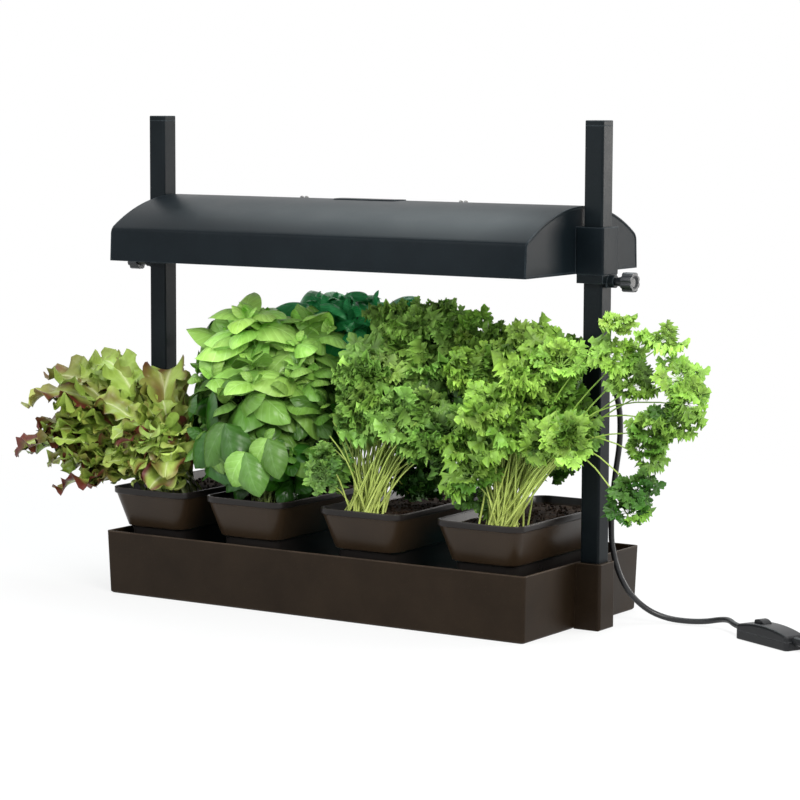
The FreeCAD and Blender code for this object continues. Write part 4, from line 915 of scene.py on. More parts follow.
# How far a leaf may reach over a parting plane, drawn for each leaf, and more for a hanging sprig.
LEAF_REACH = (-4, 15)
SPRIG_REACH = 34.0
STEM_REACH = 12
CLUMPS = {
    "lettuce": [
        (-487, -60, 158, 31), (-465, -60, 214, 35), (-439, -30, 238, 45), (-396, -10, 255, 44),
        (-329, -10, 250, 43), (-415, -70, 180, 46), (-356, -60, 194, 57), (-290, -60, 201, 57),
        (-365, -80, 152, 34), (-251, -80, 182, 38), (-262, -10, 188, 44), (-222, -78, 160, 30),
        (-300, 34, 196, 42), (-395, -95, 142, 32), (-345, -106, 136, 28),
    ],
    "basil": [
        (-257, 0, 295, 38), (-208, -20, 306, 38), (-146, -30, 323, 44), (-105, 0, 319, 44),
        (-72, 50, 332, 45), (-202, -50, 251, 48), (-124, -60, 257, 59), (-84, -20, 262, 50),
        (-165, -80, 207, 40), (-110, -70, 184, 50), (-74, -60, 170, 40), (-20, 86, 320, 32),
        (-150, 10, 206, 54), (-95, 20, 206, 52), (-196, -40, 184, 42), (-50, -40, 166, 36),
        (-60, -10, 240, 48), (-215, 10, 240, 44), (-150, 52, 220, 46), (-120, 66, 280, 42),
    ],
    "front_parsley": [
        (5, -50, 246, 46), (25, -20, 294, 49), (47, 20, 324, 43), (78, 40, 336, 34),
        (71, -50, 231, 55), (96, -10, 266, 46), (26, -60, 190, 38), (85, -60, 178, 40),
        (70, 10, 205, 52), (20, 10, 220, 46), (108, 0, 220, 42), (120, -70, 196, 38), (100, 20, 310, 36),
        (50, 56, 240, 46), (20, 50, 290, 38),
    ],
    "rear_parsley": [
        (143, 15, 315, 40), (183, 10, 322, 38), (238, 0, 322, 41), (299, -40, 305, 35),
        (178, -40, 255, 48), (246, -60, 256, 59), (306, -70, 244, 50), (200, -60, 193, 42),
        (267, -60, 182, 47), (320, -80, 192, 34), (361, -85, 289, 36), (391, -75, 308, 34),
        (387, -45, 354, 29), (432, -60, 303, 33), (452, -60, 258, 32), (395, -75, 244, 36),
        (354, -95, 229, 32), (150, -20, 270, 40), (200, 20, 220, 54), (270, 15, 225, 50),
        (150, -10, 215, 40), (275, 0, 290, 42), (186, -108, 176, 34), (228, -116, 168, 34),
        (210, 58, 240, 48), (255, 48, 290, 40), (300, -60, 190, 38),
    ],
}


def has_room(points, number, slack, stem=False):
    """True if every point, in millimetres, keeps to the plant's own room, give or take the slack."""
    x, y, z = points.T
    left, right = (np.interp(y, PARTING_AT_Y, PARTING_X[side]) for side in (number, number + 1))
    parted = (x > left - slack) & (x < right + slack)
    by_post = (np.abs(np.abs(x) - POST_X) < POST_CLEARANCE) & (np.abs(y) < POST_CLEARANCE)
    by_cord = (x > CORD_LEFT) & (x < CORD_RIGHT) & (y > CORD_FRONT) & (y < CORD_BACK)
    by_knob = (np.abs(x) > KNOB_FROM_X) & (np.abs(y) < KNOB_HALF_Y) & (z > KNOB_FROM_Z)
    clear = parted & ~by_post & ~by_cord & ~by_knob
    clear &= (z < FOLIAGE_TOP) & (y > FOLIAGE_FRONT) & (y < FOLIAGE_REAR)
    off_middle = np.abs(y - POT_Y)
    for other, centre in enumerate(POT_CENTRES):
        over_other = (np.abs(x - centre) < RIM_HALF_X) & (off_middle < RIM_HALF_Y) & (other != number)
        clear &= ~over_other | (z > NEXT_POT_LIFTED)
    if not stem:
        past_tray = ((y < BEFORE_TRAY_Y) | (x < BESIDE_TRAY_X)) & (z > ABOVE_TRAY)
        in_mouth = (np.abs(x - POT_CENTRES[number]) < MOUTH_HALF_X) & (off_middle < MOUTH_HALF_Y)
        clear &= (z > ABOVE_RIMS) | past_tray | (in_mouth & (z > ABOVE_SOIL))
    return bool(clear.all())


# %% A growing heap of leaves
TRIES = 6


class Foliage:
    """Collects copies of leaf templates, each with its colour, until they become one piece."""

    def __init__(self, number):
        self.number = number
        self.reach = np.random.default_rng(60 + number)
        self.hanging = 0.0
        self.points, self.faces, self.flat, self.tints = [], [], [], []
        self.count = 0
        self.leaves = 0

    def add(self, template, origin, ahead, facing, scale, colour):
        """A copy that starts at origin, points ahead and faces facing; False where there is no room."""
        ahead = unit(ahead)
        across = unit(np.cross(ahead, facing))
        turned = np.stack([across, ahead, np.cross(across, ahead)])
        placed = template["points"] * scale @ turned + origin
        colour = np.asarray(colour) * template["shade"][:, None]
        return self.keep(placed, template["faces"], template["flat"], colour)

    def settle(self, rng, templates, origin, ahead, facing, scale, colour):
        """Adds a leaf as it is wanted or, where there is no room, turned a little and smaller."""
        for attempt in range(TRIES):
            loose = 0.25 * attempt
            way = unit(ahead) + rng.normal(0, loose, 3)
            face = unit(facing) + rng.normal(0, loose, 3)
            template = templates[rng.integers(len(templates))]
            if self.add(template, origin, way, face, scale * 0.9**attempt, colour):
                return True
        return False

    def keep(self, placed, faces, flat, colour):
        """Keeps a placed leaf if it has room, and says whether it has."""
        if not has_room(placed, self.number, self.reach.uniform(*LEAF_REACH) + self.hanging):
            return False
        self.points.append(placed)
        self.faces.extend([index + self.count for index in face] for face in faces)
        self.flat.append(flat)
        self.tints.append(np.broadcast_to(colour, (len(placed), 3)))
        self.count += len(placed)
        self.leaves += 1
        return True

    def piece(self, name, material, slot, stands_for):
        """All the leaves kept so far as one piece."""
        mesh = bpy.data.meshes.new(name)
        mesh.from_pydata(np.concatenate(self.points) * MM, [], self.faces)
        corners = np.zeros(len(mesh.loops), np.int32)
        mesh.loops.foreach_get("vertex_index", corners)
        flat = mesh.uv_layers.new(name="leaf")
        flat.data.foreach_set("uv", np.concatenate(self.flat)[corners].astype(np.float32).ravel())
        triangles = sum(len(face) - 2 for face in self.faces)
        print(f"{name}: {self.leaves} leaves, {triangles} triangles")
        return grown_piece(mesh, name, np.concatenate(self.tints), material, stands_for, self.number)


def grown_piece(mesh, name, tints, material, stands_for, number):
    """A mesh of leaves or stems, with its colours, as a piece that rides on its pot."""
    colours = mesh.color_attributes.new("tint", "FLOAT_COLOR", "POINT")
    colours.data.foreach_set("color", np.c_[tints, np.ones(len(tints))].astype(np.float32).ravel())
    mesh.materials.clear()
    mesh.materials.append(material)
    mesh.shade_smooth()
    piece = shown(name, mesh)
    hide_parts(stands_for)
    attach(piece, f"planted_pot_{number + 1}")
    return piece


def unit(vector):
    """The vector at length 1."""
    vector = np.asarray(vector, float)
    return vector / np.linalg.norm(vector)


def around(axis, turn):
    """A direction square to the axis, turned about it."""
    axis = unit(axis)
    side = unit(np.cross(axis, (0.31, 0.22, 0.93) if abs(axis[2]) < 0.9 else (1, 0, 0)))
    return side * math.cos(turn) + np.cross(axis, side) * math.sin(turn)


def mixed_tone(rng, dark, light, share):
    """A colour between two tones, with a little of its own."""
    dark, light = np.array(dark[:3]), np.array(light[:3])
    share = min(1.0, max(0.0, share + rng.normal(0, 0.16)))
    return (dark + (light - dark) * share) * rng.uniform(0.88, 1.12, 3) ** 0.5


def template_from(bm, flat, shade=None):
    """Points, faces, flat map and shading of a leaf made by operators, ready to be copied."""
    bm.verts.index_update()
    made = {
        "points": np.array([v.co[:] for v in bm.verts]),
        "faces": [[v.index for v in face.verts] for face in bm.faces],
        "flat": np.array(flat),
        "shade": np.array(shade) if shade else np.ones(len(bm.verts)),
    }
    bm.free()
    return made


# %% [markdown]
# Stems are one curve with many splines, each thin and tapered, turned into a mesh. Each runs from
# the crown in the soil up and out to where its leaves are.

# %% Stems
def make_stems(name, number, paths, thickness, colours, material, stands_for):
    """Tapered stems along paths of points in millimetres, as one piece."""
    curve = bpy.data.curves.new(name, "CURVE")
    curve.dimensions = "3D"
    curve.resolution_u = 4
    curve.bevel_depth = thickness / 2 * MM
    curve.bevel_resolution = 1
    curve.use_fill_caps = True
    for path in paths:
        line = curve.splines.new("NURBS")
        line.points.add(len(path) - 1)
        for order, (place, point) in enumerate(zip(line.points, path)):
            place.co = (*(np.asarray(point) * MM), 1.0)
            place.radius = 1.0 - 0.45 * order / (len(path) - 1)
        line.order_u = 3
        line.use_endpoint_u = True
    mesh = mesh_of(curve)
    places = np.zeros(len(mesh.vertices) * 3, np.float32)
    mesh.vertices.foreach_get("co", places)
    height = np.clip((places.reshape(-1, 3)[:, 2] / MM - SOIL_TOP) / 170, 0, 1)[:, None]
    low, high = (np.array(colour[:3]) for colour in colours)
    mesh.uv_layers.new(name="leaf")
    print(f"{name}: {len(paths)} stems, {len(mesh.polygons)} faces")
    return grown_piece(mesh, name, low + (high - low) * height, material, stands_for, number)


def stem_path(rng, crown, tip):
    """From the crown up, then leaning out to the tip; a far low tip hangs from an arch."""
    crown, tip = np.asarray(crown, float), np.asarray(tip, float)
    foot = crown + np.array([rng.normal(0, 9), rng.normal(0, 11), -3])
    over = tip - foot
    aside = math.hypot(over[0], over[1])
    first = foot + np.array([0.26 * over[0], 0.26 * over[1], max(0.35 * over[2], 0.36 * aside)])
    second = foot + np.array([0.6 * over[0], 0.6 * over[1], max(0.77 * over[2], 0.72 * aside)])
    return [foot, first, second, tip]


def smooth_line(path, share):
    """Points at these shares of the smooth line that a path of four points draws."""
    foot, first, second, tip = path
    return ((1 - share)**3 * foot + 3 * (1 - share)**2 * share * first
            + 3 * (1 - share) * share**2 * second + share**3 * tip)


def stem_has_room(path, number):
    """True if a stem along this path keeps to its plant's room."""
    points = smooth_line(path, np.linspace(0, 1, 14)[:, None])
    return has_room(points, number, STEM_REACH, stem=True)


HIDDEN = 0.6


def outer_places(rng, clumps, per_area, depth):
    """Places on the outside of a cloud of clumps, each with the way it faces."""
    balls = [(np.array(middle, float), radius) for *middle, radius in clumps]
    for centre, radius in balls:
        for _ in range(max(2, int(per_area * 4 * math.pi * radius**2))):
            facing = unit(rng.normal(size=3))
            place = centre + facing * radius * rng.uniform(*depth)
            buried = any(
                np.linalg.norm(place - other) < reach * HIDDEN
                for other, reach in balls if other is not centre
            )
            if not buried:
                yield place, facing


def parting_places(rng, number, clumps, per_area):
    """Places near the parting planes inside the clumps, each with the plane's way out and along."""
    along = unit((PARTING_X[1][1] - PARTING_X[1][0], PARTING_AT_Y[1] - PARTING_AT_Y[0], 0))
    normal = np.array([along[1], -along[0], 0])
    for out, side in ((-1, number), (1, number + 1)):
        on_plane = np.array([PARTING_X[side][0], PARTING_AT_Y[0], 0.0])
        for *middle, radius in clumps:
            centre = np.array(middle, float)
            distance = float((centre - on_plane) @ normal)
            if abs(distance) >= radius:
                continue
            disc = math.sqrt(radius**2 - distance**2)
            for _ in range(int(per_area * math.pi * disc**2)):
                turn, reach = rng.uniform(0, math.tau), disc * math.sqrt(rng.uniform(0, 1))
                place = centre - normal * distance + along * reach * math.cos(turn)
                place = place + np.array([0, 0, reach * math.sin(turn)])
                yield place - normal * out * rng.uniform(-6, 14), normal * out, along


# %% [markdown]
# Basil. Its leaves come in pairs, each pair turned a quarter from the last: small bright ones at
# the tip of a shoot, then larger ones that open flat and hang. The blade is broad, pointed and
# puffed up between its veins, with its edges rolled under.

# %% Basil leaf
def basil_template(width, roll, bend, twist):
    """A blade of length 1, from a grid: its outline, the rolled edges and the bent tip."""
    bm = bmesh.new()
    bmesh.ops.create_grid(bm, x_segments=6, y_segments=10, size=0.5)
    flat = []
    for v in bm.verts:
        s, t = 2 * v.co.x, v.co.y + 0.5
        flat.append((v.co.x + 0.5, t))
        half = width * math.sin(math.pi * min(1.0, t**0.82)) ** 0.72 * (1.0 - 0.25 * t) + 0.008
        angle = bend * t**1.6
        ripple = 0.015 * math.sin(11 * t + 2 * s) * abs(s)
        height = 0.07 * math.sin(math.pi * t) * (1 - 0.5 * s * s) - roll * s * s * half + ripple
        groove = 0.03 * max(0.0, 1 - abs(s) / 0.4) * math.sin(math.pi * t)
        lie = t * (1 - 0.18 * angle)
        v.co = (s * half + twist * t * t * 0.3, lie, height - groove - 0.42 * t * math.sin(angle))
    return template_from(bm, flat)


BASIL_LEAVES = [
    basil_template(0.36, 0.5, 0.5, 0.0),
    basil_template(0.33, 0.35, 0.8, 0.2),
    basil_template(0.38, 0.6, 0.35, -0.2),
    basil_template(0.35, 0.25, 1.1, 0.1),
]
BASIL_LEVELS = ((24, 30, 2), (48, 56, 4), (66, 74, 16), (70, 94, 34))
# Shoots of the deeper green kind, at the rear, where they show past the parsley.
RICH_SHOOTS = (
    (-118, 52, 364), (-96, 64, 368), (-72, 78, 366), (-50, 84, 358), (-30, 92, 350), (-14, 98, 338),
    (-66, 62, 338), (-40, 78, 326), (-90, 46, 346), (-20, 92, 312), (-56, 70, 304),
)
# Large low leaves at the front, each with its length.
BASIL_FRONT = ((-89, -139, 196, 62), (-127, -128, 228, 66), (-152, -122, 214, 58), (-60, -132, 214, 56))


def basil_tone(rng, share, rich):
    """A leaf's green, between the dark and the light of its kind."""
    if rich:
        return mixed_tone(rng, tone(16, 104, 54), tone(66, 182, 106), share)
    return mixed_tone(rng, tone(42, 88, 22), tone(182, 232, 116), share)


def basil_shoot(foliage, rng, tip, axis, vigour, painted_light_share, rich):
    """Pairs of leaves down a shoot; each pair is a quarter turn on."""
    axis = unit(axis)
    start = rng.uniform(0, math.tau)
    for level, (length, opening, drop) in enumerate(BASIL_LEVELS):
        for half in (0, 1):
            out = around(axis, start + level * math.pi / 2 + half * math.pi + rng.normal(0, 0.22))
            angle = math.radians(opening + rng.normal(0, 9))
            ahead = axis * math.cos(angle) + out * math.sin(angle) - np.array([0, 0, 0.1 * level])
            facing = axis * math.sin(angle) - out * math.cos(angle) + np.array([0, -0.1, 0.35])
            size = length * vigour * rng.uniform(0.85, 1.2)
            base = tip - axis * drop * vigour + unit(ahead) * 3
            # The leaf's green is lighter by the shoot's painted light share, and darker for each pair further
            # down the shoot.
            colour = basil_tone(rng, painted_light_share + 0.3 - 0.17 * level, rich)
            foliage.settle(rng, BASIL_LEAVES, base, ahead, facing, size, colour)


def grow_basil():
    """Shoots over the clumps, the deeper green kind, the parting's inside and the low front."""
    rng = np.random.default_rng(21)
    foliage, paths = Foliage(1), []
    crown = (POT_CENTRES[1], -65, SOIL_TOP)
    for place, facing in outer_places(rng, CLUMPS["basil"], 0.0003, (0.55, 0.86)):
        if facing[2] < -0.55:
            continue
        axis = unit(facing * 0.75 + np.array([0.05, -0.2, 0.7]))
        height = max(0.0, (place[2] - 180) / 160)
        path = stem_path(rng, crown, place - axis * 14)
        if not stem_has_room(path, 1):
            continue
        rich = place[1] > 26 and place[0] > -120
        # Painted light: shoots that stand higher get lighter greens, as if lit from above; low ones are
        # painted into shade.
        painted_light_share = 0.6 * height + 0.4 * height**4 - 0.05
        basil_shoot(foliage, rng, place, axis, rng.uniform(0.82, 1.12), painted_light_share, rich)
        paths.append(path + [place])
    for place in RICH_SHOOTS:
        axis = unit(np.array([0.1, -0.45, 0.85]) + rng.normal(0, 0.15, 3))
        basil_shoot(foliage, rng, np.array(place, float), axis, rng.uniform(0.85, 1.1), 0.65, True)
        paths.append(stem_path(rng, crown, np.array(place, float)))
    for place, out, along in parting_places(rng, 1, CLUMPS["basil"], 0.0011):
        ahead = along * rng.normal(0, 0.7) + np.array([0, 0, rng.choice([-0.8, 0.5])])
        # Painted shade: leaves inside the parting get darker greens the lower they sit.
        colour = basil_tone(rng, 0.3 * (place[2] - 150) / 200, place[1] > 30)
        facing = out + np.array([0, 0, 0.2])
        foliage.settle(rng, BASIL_LEAVES, place, ahead, facing, rng.uniform(36, 58), colour)
    for x, y, z, length in BASIL_FRONT:
        for turn in (-0.5, 0.4):
            ahead = (turn, -0.25, -0.9)
            # Painted shade, with the leaves' own darker green: the low front leaves sit near the dark end of
            # the tone.
            colour = basil_tone(rng, 0.12, False)
            foliage.settle(rng, BASIL_LEAVES, (x, y, z), ahead, (0.2, -1, 0.35), length, colour)
    foliage.piece("basil_leaves", basil_leaf, "basil_leaf", "basil_plant")
    make_stems(
        "basil_stems", 1, paths, 3.6, (tone(128, 146, 76), tone(122, 164, 74)), basil_leaf,
        "basil_plant",
    )


grow_basil()

# %% [markdown]
# Parsley. A stem ends in an umbrella of fronds; a frond is three small leaves on short stalks, and
# each of those is three leaflets. A leaflet is a disc of triangles whose rim is drawn in and out
# for its lobes and teeth, so it needs three dozen faces and no more, however often it is repeated.

# %% Parsley frond
# How far the rim reaches at every ten degrees from the tip round to the stalk.
LOBES = (
    1.0, 0.97, 0.84, 0.93, 0.86, 0.5, 0.76, 0.9, 0.82, 0.93, 0.82, 0.56, 0.76, 0.6, 0.36, 0.24, 0.2, 0.2, 0.2,
)


def leaflet_template(rng, curl):
    """One toothed leaflet of length 1 from its stalk to its tip."""
    bm = bmesh.new()
    bmesh.ops.create_circle(bm, cap_ends=True, cap_tris=True, segments=36, radius=1.0)
    flat, shade = [], []
    for v in bm.verts:
        if v.co.length > 0.5:
            angle = math.atan2(v.co.x, v.co.y)
            step = round(abs(angle) / math.radians(10))
            reach = 0.6 * LOBES[step] * rng.uniform(0.94, 1.06)
            fold = curl * reach * (0.5 * math.cos(3 * angle) - 0.35 + rng.normal(0, 0.34))
            v.co = (0.88 * reach * math.sin(angle), 0.4 + reach * math.cos(angle), fold)
            shade.append(0.86 + 0.5 * reach)
        else:
            v.co = (0, 0.4, 0.05)
            shade.append(0.62)
        flat.append((0.5 + 0.5 * v.co.x, max(0.0, min(1.0, v.co.y))))
    return template_from(bm, flat, shade)


def frond_template(rng, curl, spread):
    """Nine leaflets on forked stalks, together a frond of length 1."""
    points, faces, flat, shade = [], [], [], []
    count = 0
    leaflets = [leaflet_template(rng, curl) for _ in range(3)]
    for base, fork_turn, stalk in ((0.26, 0.0, 0.2), (0.15, spread, 0.16), (0.15, -spread, 0.16)):
        along = np.array([math.sin(fork_turn), math.cos(fork_turn), rng.normal(0, 0.15)])
        knot = np.array([0, base, 0]) + along * stalk
        foot = np.array([[-0.013, 0.0, 0], [0.013, 0.0, 0]])
        points.append(np.concatenate([foot, foot * 0.7 + knot]))
        faces.append([count, count + 1, count + 3, count + 2])
        flat.append(np.full((4, 2), 0.5))
        shade.append(np.full(4, 0.8))
        count += 4
        for turn, size in ((0.0, 0.44), (1.05, 0.38), (-1.05, 0.38)):
            whole = fork_turn * 0.85 + turn + rng.normal(0, 0.14)
            dip = rng.normal(-0.15, 0.25)
            leaflet = leaflets[rng.integers(3)]
            sized = leaflet["points"] * size * rng.uniform(0.85, 1.15)
            across = sized[:, 0] * math.cos(whole) + sized[:, 1] * math.sin(whole)
            ahead = -sized[:, 0] * math.sin(whole) + sized[:, 1] * math.cos(whole)
            points.append(np.c_[across, ahead, sized[:, 2] + sized[:, 1] * dip] + knot)
            faces.extend([index + count for index in face] for face in leaflet["faces"])
            flat.append(leaflet["flat"])
            shade.append(leaflet["shade"] * rng.uniform(0.75, 1.15))
            count += len(sized)
    return {
        "points": np.concatenate(points), "faces": faces, "flat": np.concatenate(flat),
        "shade": np.concatenate(shade),
    }


def frond_templates():
    """Six fronds, flatter and more curled, narrow and wide."""
    rng = np.random.default_rng(5)
    return [frond_template(rng, curl, spread) for curl in (0.6, 0.9) for spread in (0.9, 1.1, 1.3)]


PARSLEY_FRONDS = frond_templates()
# Sprigs that stand free of the mass, where they show against the background.
FREE_SPRIGS = {
    "front_parsley": [
        (79, 30, 372), (14, 28, 362), (112, 28, 348), (2, -128, 172), (24, -132, 168), (12, -112, 190),
    ],
    "rear_parsley": [
        (380, -60, 372), (437, -60, 350), (462, -60, 312), (454, -60, 262), (472, -55, 284),
        (424, -80, 226), (425, -90, 184), (419, -95, 158), (431, -70, 250), (383, -60, 329), (404, -66, 300),
    ],
}


BARE_STEMS = 30


def parsley_sprig(foliage, rng, tip, axis, reach, share, tones):
    """An umbrella of fronds that opens round the end of a stem."""
    axis = unit(axis)
    count = int(rng.integers(4, 7))
    start = rng.uniform(0, math.tau)
    grown = 0
    for step in range(count + 1):
        out = around(axis, start + math.tau * step / count + rng.normal(0, 0.25))
        angle = math.radians(rng.uniform(42, 92) if step < count else 12)
        ahead = axis * math.cos(angle) + out * math.sin(angle)
        facing = axis * math.sin(angle) - out * math.cos(angle) + rng.normal(0, 0.18, 3)
        colour = mixed_tone(rng, tones[0], tones[1], share)
        size = reach * rng.uniform(0.8, 1.15)
        grown += foliage.settle(rng, PARSLEY_FRONDS, tip, ahead, facing, size, colour)
    return grown > 1


def grow_parsley(number, name, crown, seed, per_area, tones, bare):
    """Sprigs over the clumps, each on its own long stem; between the bare limits the stems show."""
    rng = np.random.default_rng(seed)
    foliage, paths = Foliage(number), []
    middle = np.mean([clump[:3] for clump in CLUMPS[name]], axis=0)
    wanted = [(np.array(place, float), unit(np.array(place) - middle)) for place in FREE_SPRIGS[name]]
    wanted += list(outer_places(rng, CLUMPS[name], per_area, (0.4, 0.98)))
    for order, (place, facing) in enumerate(wanted):
        free = order < len(FREE_SPRIGS[name])
        past_post = place[0] > 340 and rng.uniform() > 0.14
        stems_show = place[2] < 210 and place[1] < -35 and bare[0] < place[0] < bare[1]
        basil_shows = number == 2 and place[2] > 296 and place[0] + 0.65 * place[1] < 34
        thin = place[2] < 236 and place[1] < -20 and rng.uniform() > 0.6
        if not free and (past_post or stems_show or basil_shows or thin):
            continue
        axis = unit(facing * 0.6 + np.array([0.05, -0.3, 0.75]) + rng.normal(0, 0.12, 3))
        path = stem_path(rng, crown, place - axis * 4)
        if not stem_has_room(path, number):
            continue
        foliage.hanging = SPRIG_REACH if free else 0.0
        # Painted light: sprigs that stand higher, face upward or face the front get lighter greens, as if
        # lit.
        share = 0.22 + 0.42 * (place[2] - 160) / 200 + 0.25 * facing[2] - 0.2 * facing[1]
        reach = rng.uniform(34, 42) if free else rng.uniform(40, 56)
        if parsley_sprig(foliage, rng, place, axis, reach, share, tones):
            paths.append(path)
    for _ in range(BARE_STEMS):
        spread = (rng.uniform(-64, 80), rng.uniform(-30, 60), rng.uniform(82, 122))
        path = stem_path(rng, crown, np.array(crown) + spread)
        if stem_has_room(path, number):
            paths.append(path)
    plant = f"{name}_plant"
    foliage.piece(f"{name}_fronds", parsley_leaf, "parsley_leaf", plant)
    make_stems(
        f"{name}_stems", number, paths, 2.6, (tone(190, 204, 110), tone(132, 170, 66)), parsley_leaf,
        plant,
    )


grow_parsley(
    2, "front_parsley", crown=(POT_CENTRES[2] - 14, -90, SOIL_TOP), seed=31, per_area=0.0003,
    tones=(tone(50, 98, 30), tone(170, 218, 104)), bare=(26, 118),
)
grow_parsley(
    3, "rear_parsley", crown=(POT_CENTRES[3] + 8, -84, SOIL_TOP), seed=37, per_area=0.00026,
    tones=(tone(54, 102, 26), tone(172, 218, 94)), bare=(238, 306),
)

# %% [markdown]
# Lettuce. Long loose leaves that rise from the crown, arch over and hang, wide and ruffled towards
# the tip, pale along the rib, yellow-green, and on some leaves wine red from the edges inward. Each
# leaf has its own path, so each is a grid bent along its own curve.

# %% Lettuce leaves
def lettuce_leaf_on(foliage, rng, path, width, redness, lie=0.5):
    """One ruffled leaf along a path of four points."""
    bm = bmesh.new()
    bmesh.ops.create_grid(bm, x_segments=14, y_segments=54, size=0.5)
    grid = np.array([v.co[:2] for v in bm.verts])
    template = template_from(bm, grid + 0.5)
    s, t = 2 * grid[:, 0], grid[:, 1] + 0.5
    foot, first, second, tip = path
    u = t[:, None]
    line = smooth_line(path, u)
    way = 3 * (1 - u)**2 * (first - foot) + 6 * (1 - u) * u * (second - first) + 3 * u**2 * (tip - second)
    way /= np.linalg.norm(way, axis=1)[:, None]
    roll = rng.normal(0, lie)
    up = np.array([math.sin(roll), -0.3, 1.0])
    across = np.cross(way, up)
    across /= np.linalg.norm(across, axis=1)[:, None]
    normal = np.cross(across, way)
    swell = np.clip((t - 0.15) / 0.55, 0, 1)
    broad = 0.14 + 0.86 * swell**1.2
    tipped = np.sqrt(np.clip(1 - ((t - 0.72) / 0.283)**2, 0.01, 1)) * (t > 0.72) + (t <= 0.72)
    phase = rng.uniform(0, math.tau, 4)
    beat = np.linalg.norm(tip - foot) / rng.uniform(34, 46)
    teeth = 1 + 0.16 * np.sin(2 * math.pi * beat * 2.2 * t + phase[0] + np.sign(s)) * np.abs(s)**2
    half = width / 2 * broad * tipped * teeth
    frill = np.abs(s)**1.8 * broad * np.sqrt(tipped)
    ruffle = frill * width * (
        0.16 * np.sin(2 * math.pi * beat * t + phase[1] * np.sign(s))
        + 0.1 * np.sin(2 * math.pi * beat * 2.2 * t + phase[2] * np.sign(s) + 1.1)
    )
    cup = width * rng.uniform(0.05, 0.25) * s * s * broad * tipped
    tip_wave = width * 0.06 * np.sin(2.4 * s + phase[3]) * np.clip((t - 0.8) / 0.2, 0, 1)
    placed = line + across * (s * half)[:, None] + normal * (ruffle + cup + tip_wave)[:, None]
    green = np.array(mixed_tone(rng, tone(100, 142, 40), tone(206, 224, 120), 0.5))
    rib = np.array(tone(224, 230, 178)[:3])
    wine = np.array(mixed_tone(rng, tone(66, 24, 28), tone(128, 64, 48), 0.45))
    ribbed = np.clip(1 - np.abs(s) * (1.3 + 6 * swell), 0, 1) * (1 - 0.5 * t)
    colour = green + (rib - green) * ribbed[:, None]
    edge = np.clip(np.abs(s) * 0.9 + t * 1.15 - 1.45 + 1.2 * redness, 0, 1)
    patches = np.clip(0.55 + 0.9 * np.sin(5 * t + phase[3]) * np.cos(4 * s + phase[2]), 0.1, 1)
    colour = colour + (wine - colour) * (edge * patches * min(1.0, 2.5 * redness))[:, None]
    # Painted shade: each leaf is darker towards its foot, deep in the head.
    colour = colour * (0.55 + 0.45 * np.clip(t / 0.55, 0, 1))[:, None]
    return foliage.keep(placed, template["faces"], template["flat"], colour)


LEAVES_PER_CLUMP, LEAF_TRIES, HEART_TRIES = 8, 70, 150


def lettuce_path(rng, crown, tip, lift):
    """Up out of the crown, over and down to the tip; also how far the tip is."""
    foot = crown + np.array([rng.normal(0, 12), rng.normal(0, 14), 0])
    over = tip - foot
    reach = np.linalg.norm(over)
    first = foot + np.array([over[0] * 0.15, over[1] * 0.15, lift * 0.6 * reach + 14])
    second = foot + over * 0.7 + np.array([0, 0, lift * reach])
    return (foot, first, second, tip), reach


def grow_lettuce():
    """Long outer leaves that reach to the clumps, then the short ones of the heart."""
    rng = np.random.default_rng(12)
    crown = np.array([POT_CENTRES[0] - 2, -66.0, SOIL_TOP - 1])
    outer = Foliage(0)
    for *middle, radius in CLUMPS["lettuce"]:
        middle = np.array(middle, float)
        made, tried = 0, 0
        while made < LEAVES_PER_CLUMP and tried < LEAF_TRIES:
            tried += 1
            facing = unit(rng.normal(size=3) + np.array([-0.2, -0.3, 0.25]))
            tip = middle + facing * radius * rng.uniform(0.6, 1.0)
            path, reach = lettuce_path(rng, crown, tip, rng.uniform(0.15, 0.38))
            width = min(64.0, 0.42 * reach) * rng.uniform(0.6, 1.1) * 0.985**tried
            far_left = max(0.0, (-tip[0] - 400) / 90)
            redness = max(0.0, min(1.0, rng.normal(0.34, 0.42) + 0.4 * far_left))
            made += lettuce_leaf_on(outer, rng, path, width, redness)
    outer.piece("lettuce_leaves", lettuce_leaf, "lettuce_leaf", "lettuce_plant")
    heart = Foliage(0)
    for _ in range(HEART_TRIES):
        turn = rng.uniform(-3.4, 0.5)
        reach = rng.uniform(44, 112)
        tip = crown + np.array([math.cos(turn) * reach, math.sin(turn) * reach * 0.8, rng.uniform(4, 84)])
        path, _ = lettuce_path(rng, crown, tip, rng.uniform(0.25, 0.5))
        redness = max(0.0, min(1.0, rng.normal(0.35, 0.42)))
        lettuce_leaf_on(heart, rng, path, rng.uniform(26, 46), redness, 0.35)
    heart.piece("lettuce_heart", lettuce_leaf, "lettuce_leaf", "lettuce_plant")


grow_lettuce()

# %% [markdown]
# Studio: a pale floor that runs out of the picture, and white all round it. Rays from the camera,
# off gloss and through glass see both white by a glow of their own; near the garden the floor's
# glow is a little weaker, so that its soft shadow shows.

# %% Floor and world
FLOOR_HALF = 12.0
SHADOW_NEAR, SHADOW_FAR, SHADOW_GLOW = 0.8, 1.5, 0.78


def seen_directly(tree):
    """1 for rays from the camera, off gloss and through glass, and 0 for the light on the garden."""
    path = tree.nodes.new("ShaderNodeLightPath")
    seen = path.outputs["Is Camera Ray"]
    for word in ("Is Glossy Ray", "Is Transmission Ray"):
        either = tree.nodes.new("ShaderNodeMath")
        either.operation = "MAXIMUM"
        tree.links.new(seen, either.inputs[0])
        tree.links.new(path.outputs[word], either.inputs[1])
        seen = either.outputs[0]
    return seen


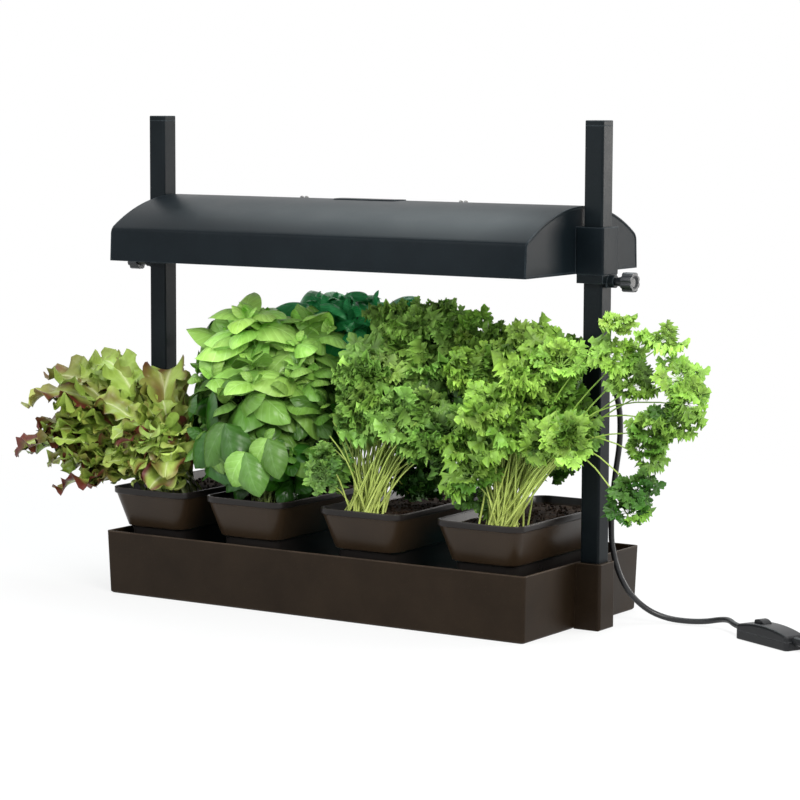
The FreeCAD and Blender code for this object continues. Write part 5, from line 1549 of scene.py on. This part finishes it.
def make_floor():
    """A wide sheet that glows for the camera and takes the garden's shadow."""
    bm = bmesh.new()
    bmesh.ops.create_grid(bm, x_segments=2, y_segments=2, size=FLOOR_HALF)
    mesh = bpy.data.meshes.new("studio_floor")
    bm.to_mesh(mesh)
    bm.free()
    material = new_finish("studio_floor", (0.8, 0.8, 0.8, 1.0), 0.9, 0.1)
    tree = material.node_tree
    away = put(material, "VectorMath")
    away.operation = "LENGTH"
    wire(material, put(material, "TexCoord").outputs["Object"], away.inputs[0])
    share = ranged(material, away.outputs["Value"], SHADOW_NEAR, SHADOW_FAR, SHADOW_GLOW, 1.0)
    white = put(material, "Emission", Strength=1.0)
    mixed = tree.nodes.new("ShaderNodeMixShader")
    wire(material, product(material, seen_directly(tree), share), mixed.inputs[0])
    wire(material, surface_of(material).outputs[0], mixed.inputs[1])
    wire(material, white.outputs[0], mixed.inputs[2])
    wire(material, mixed.outputs[0], tree.nodes["Material Output"].inputs["Surface"])
    mesh.materials.append(material)
    shown("studio_floor", mesh)


def make_world():
    """White to the camera, and a dimmer, cooler light on the garden."""
    world = bpy.data.worlds.new("studio")
    world.use_nodes = True
    bpy.context.scene.world = world
    tree = world.node_tree
    tree.nodes.clear()
    soft, white = tree.nodes.new("ShaderNodeBackground"), tree.nodes.new("ShaderNodeBackground")
    soft.inputs["Color"].default_value = (0.93, 0.97, 1.0, 1.0)
    soft.inputs["Strength"].default_value = 0.55
    white.inputs["Color"].default_value = (1.0, 1.0, 1.0, 1.0)
    white.inputs["Strength"].default_value = 1.0
    mixed = tree.nodes.new("ShaderNodeMixShader")
    tree.links.new(seen_directly(tree), mixed.inputs[0])
    tree.links.new(soft.outputs[0], mixed.inputs[1])
    tree.links.new(white.outputs[0], mixed.inputs[2])
    output = tree.nodes.new("ShaderNodeOutputWorld")
    tree.links.new(mixed.outputs[0], output.inputs["Surface"])


make_floor()
make_world()

# %% Lamps of the studio
def softbox(name, place, target, size, power, colour):
    """A square soft light at place, that faces target."""
    light = bpy.data.lights.new(name, "AREA")
    light.shape = "SQUARE"
    light.size = size
    light.energy = power
    light.color = colour
    lamp = shown(name, light)
    way = Vector(target) - Vector(place)
    lamp.location = place
    lamp.rotation_euler = way.to_track_quat("-Z", "Y").to_euler()


softbox("key_light", (2.0, -1.4, 1.8), (0, 0, 0.25), 1.1, 64, (1.0, 0.98, 0.95))
softbox("fill_light", (-1.1, -2.2, 1.9), (0, 0, 0.25), 1.4, 30, (0.97, 0.98, 1.0))
softbox("card_light", (-1.1, -2.4, 0.5), (0.2, 0, 0.4), 0.7, 5, (0.9, 0.97, 1.0))
softbox("top_light", (0.3, 0.5, 2.2), (0, 0, 0.4), 1.3, 24, (0.95, 0.98, 1.0))
softbox("side_light", (1.8, 1.8, 0.7), (0.3, 0, 0.3), 1.0, 30, (1.0, 0.97, 0.93))
softbox("rear_light", (-0.95, 1.05, 2.0), (0.1, 0, 0.45), 0.8, 10, (0.86, 0.98, 1.0))
view = bpy.context.scene.view_settings
view.view_transform = "Standard"
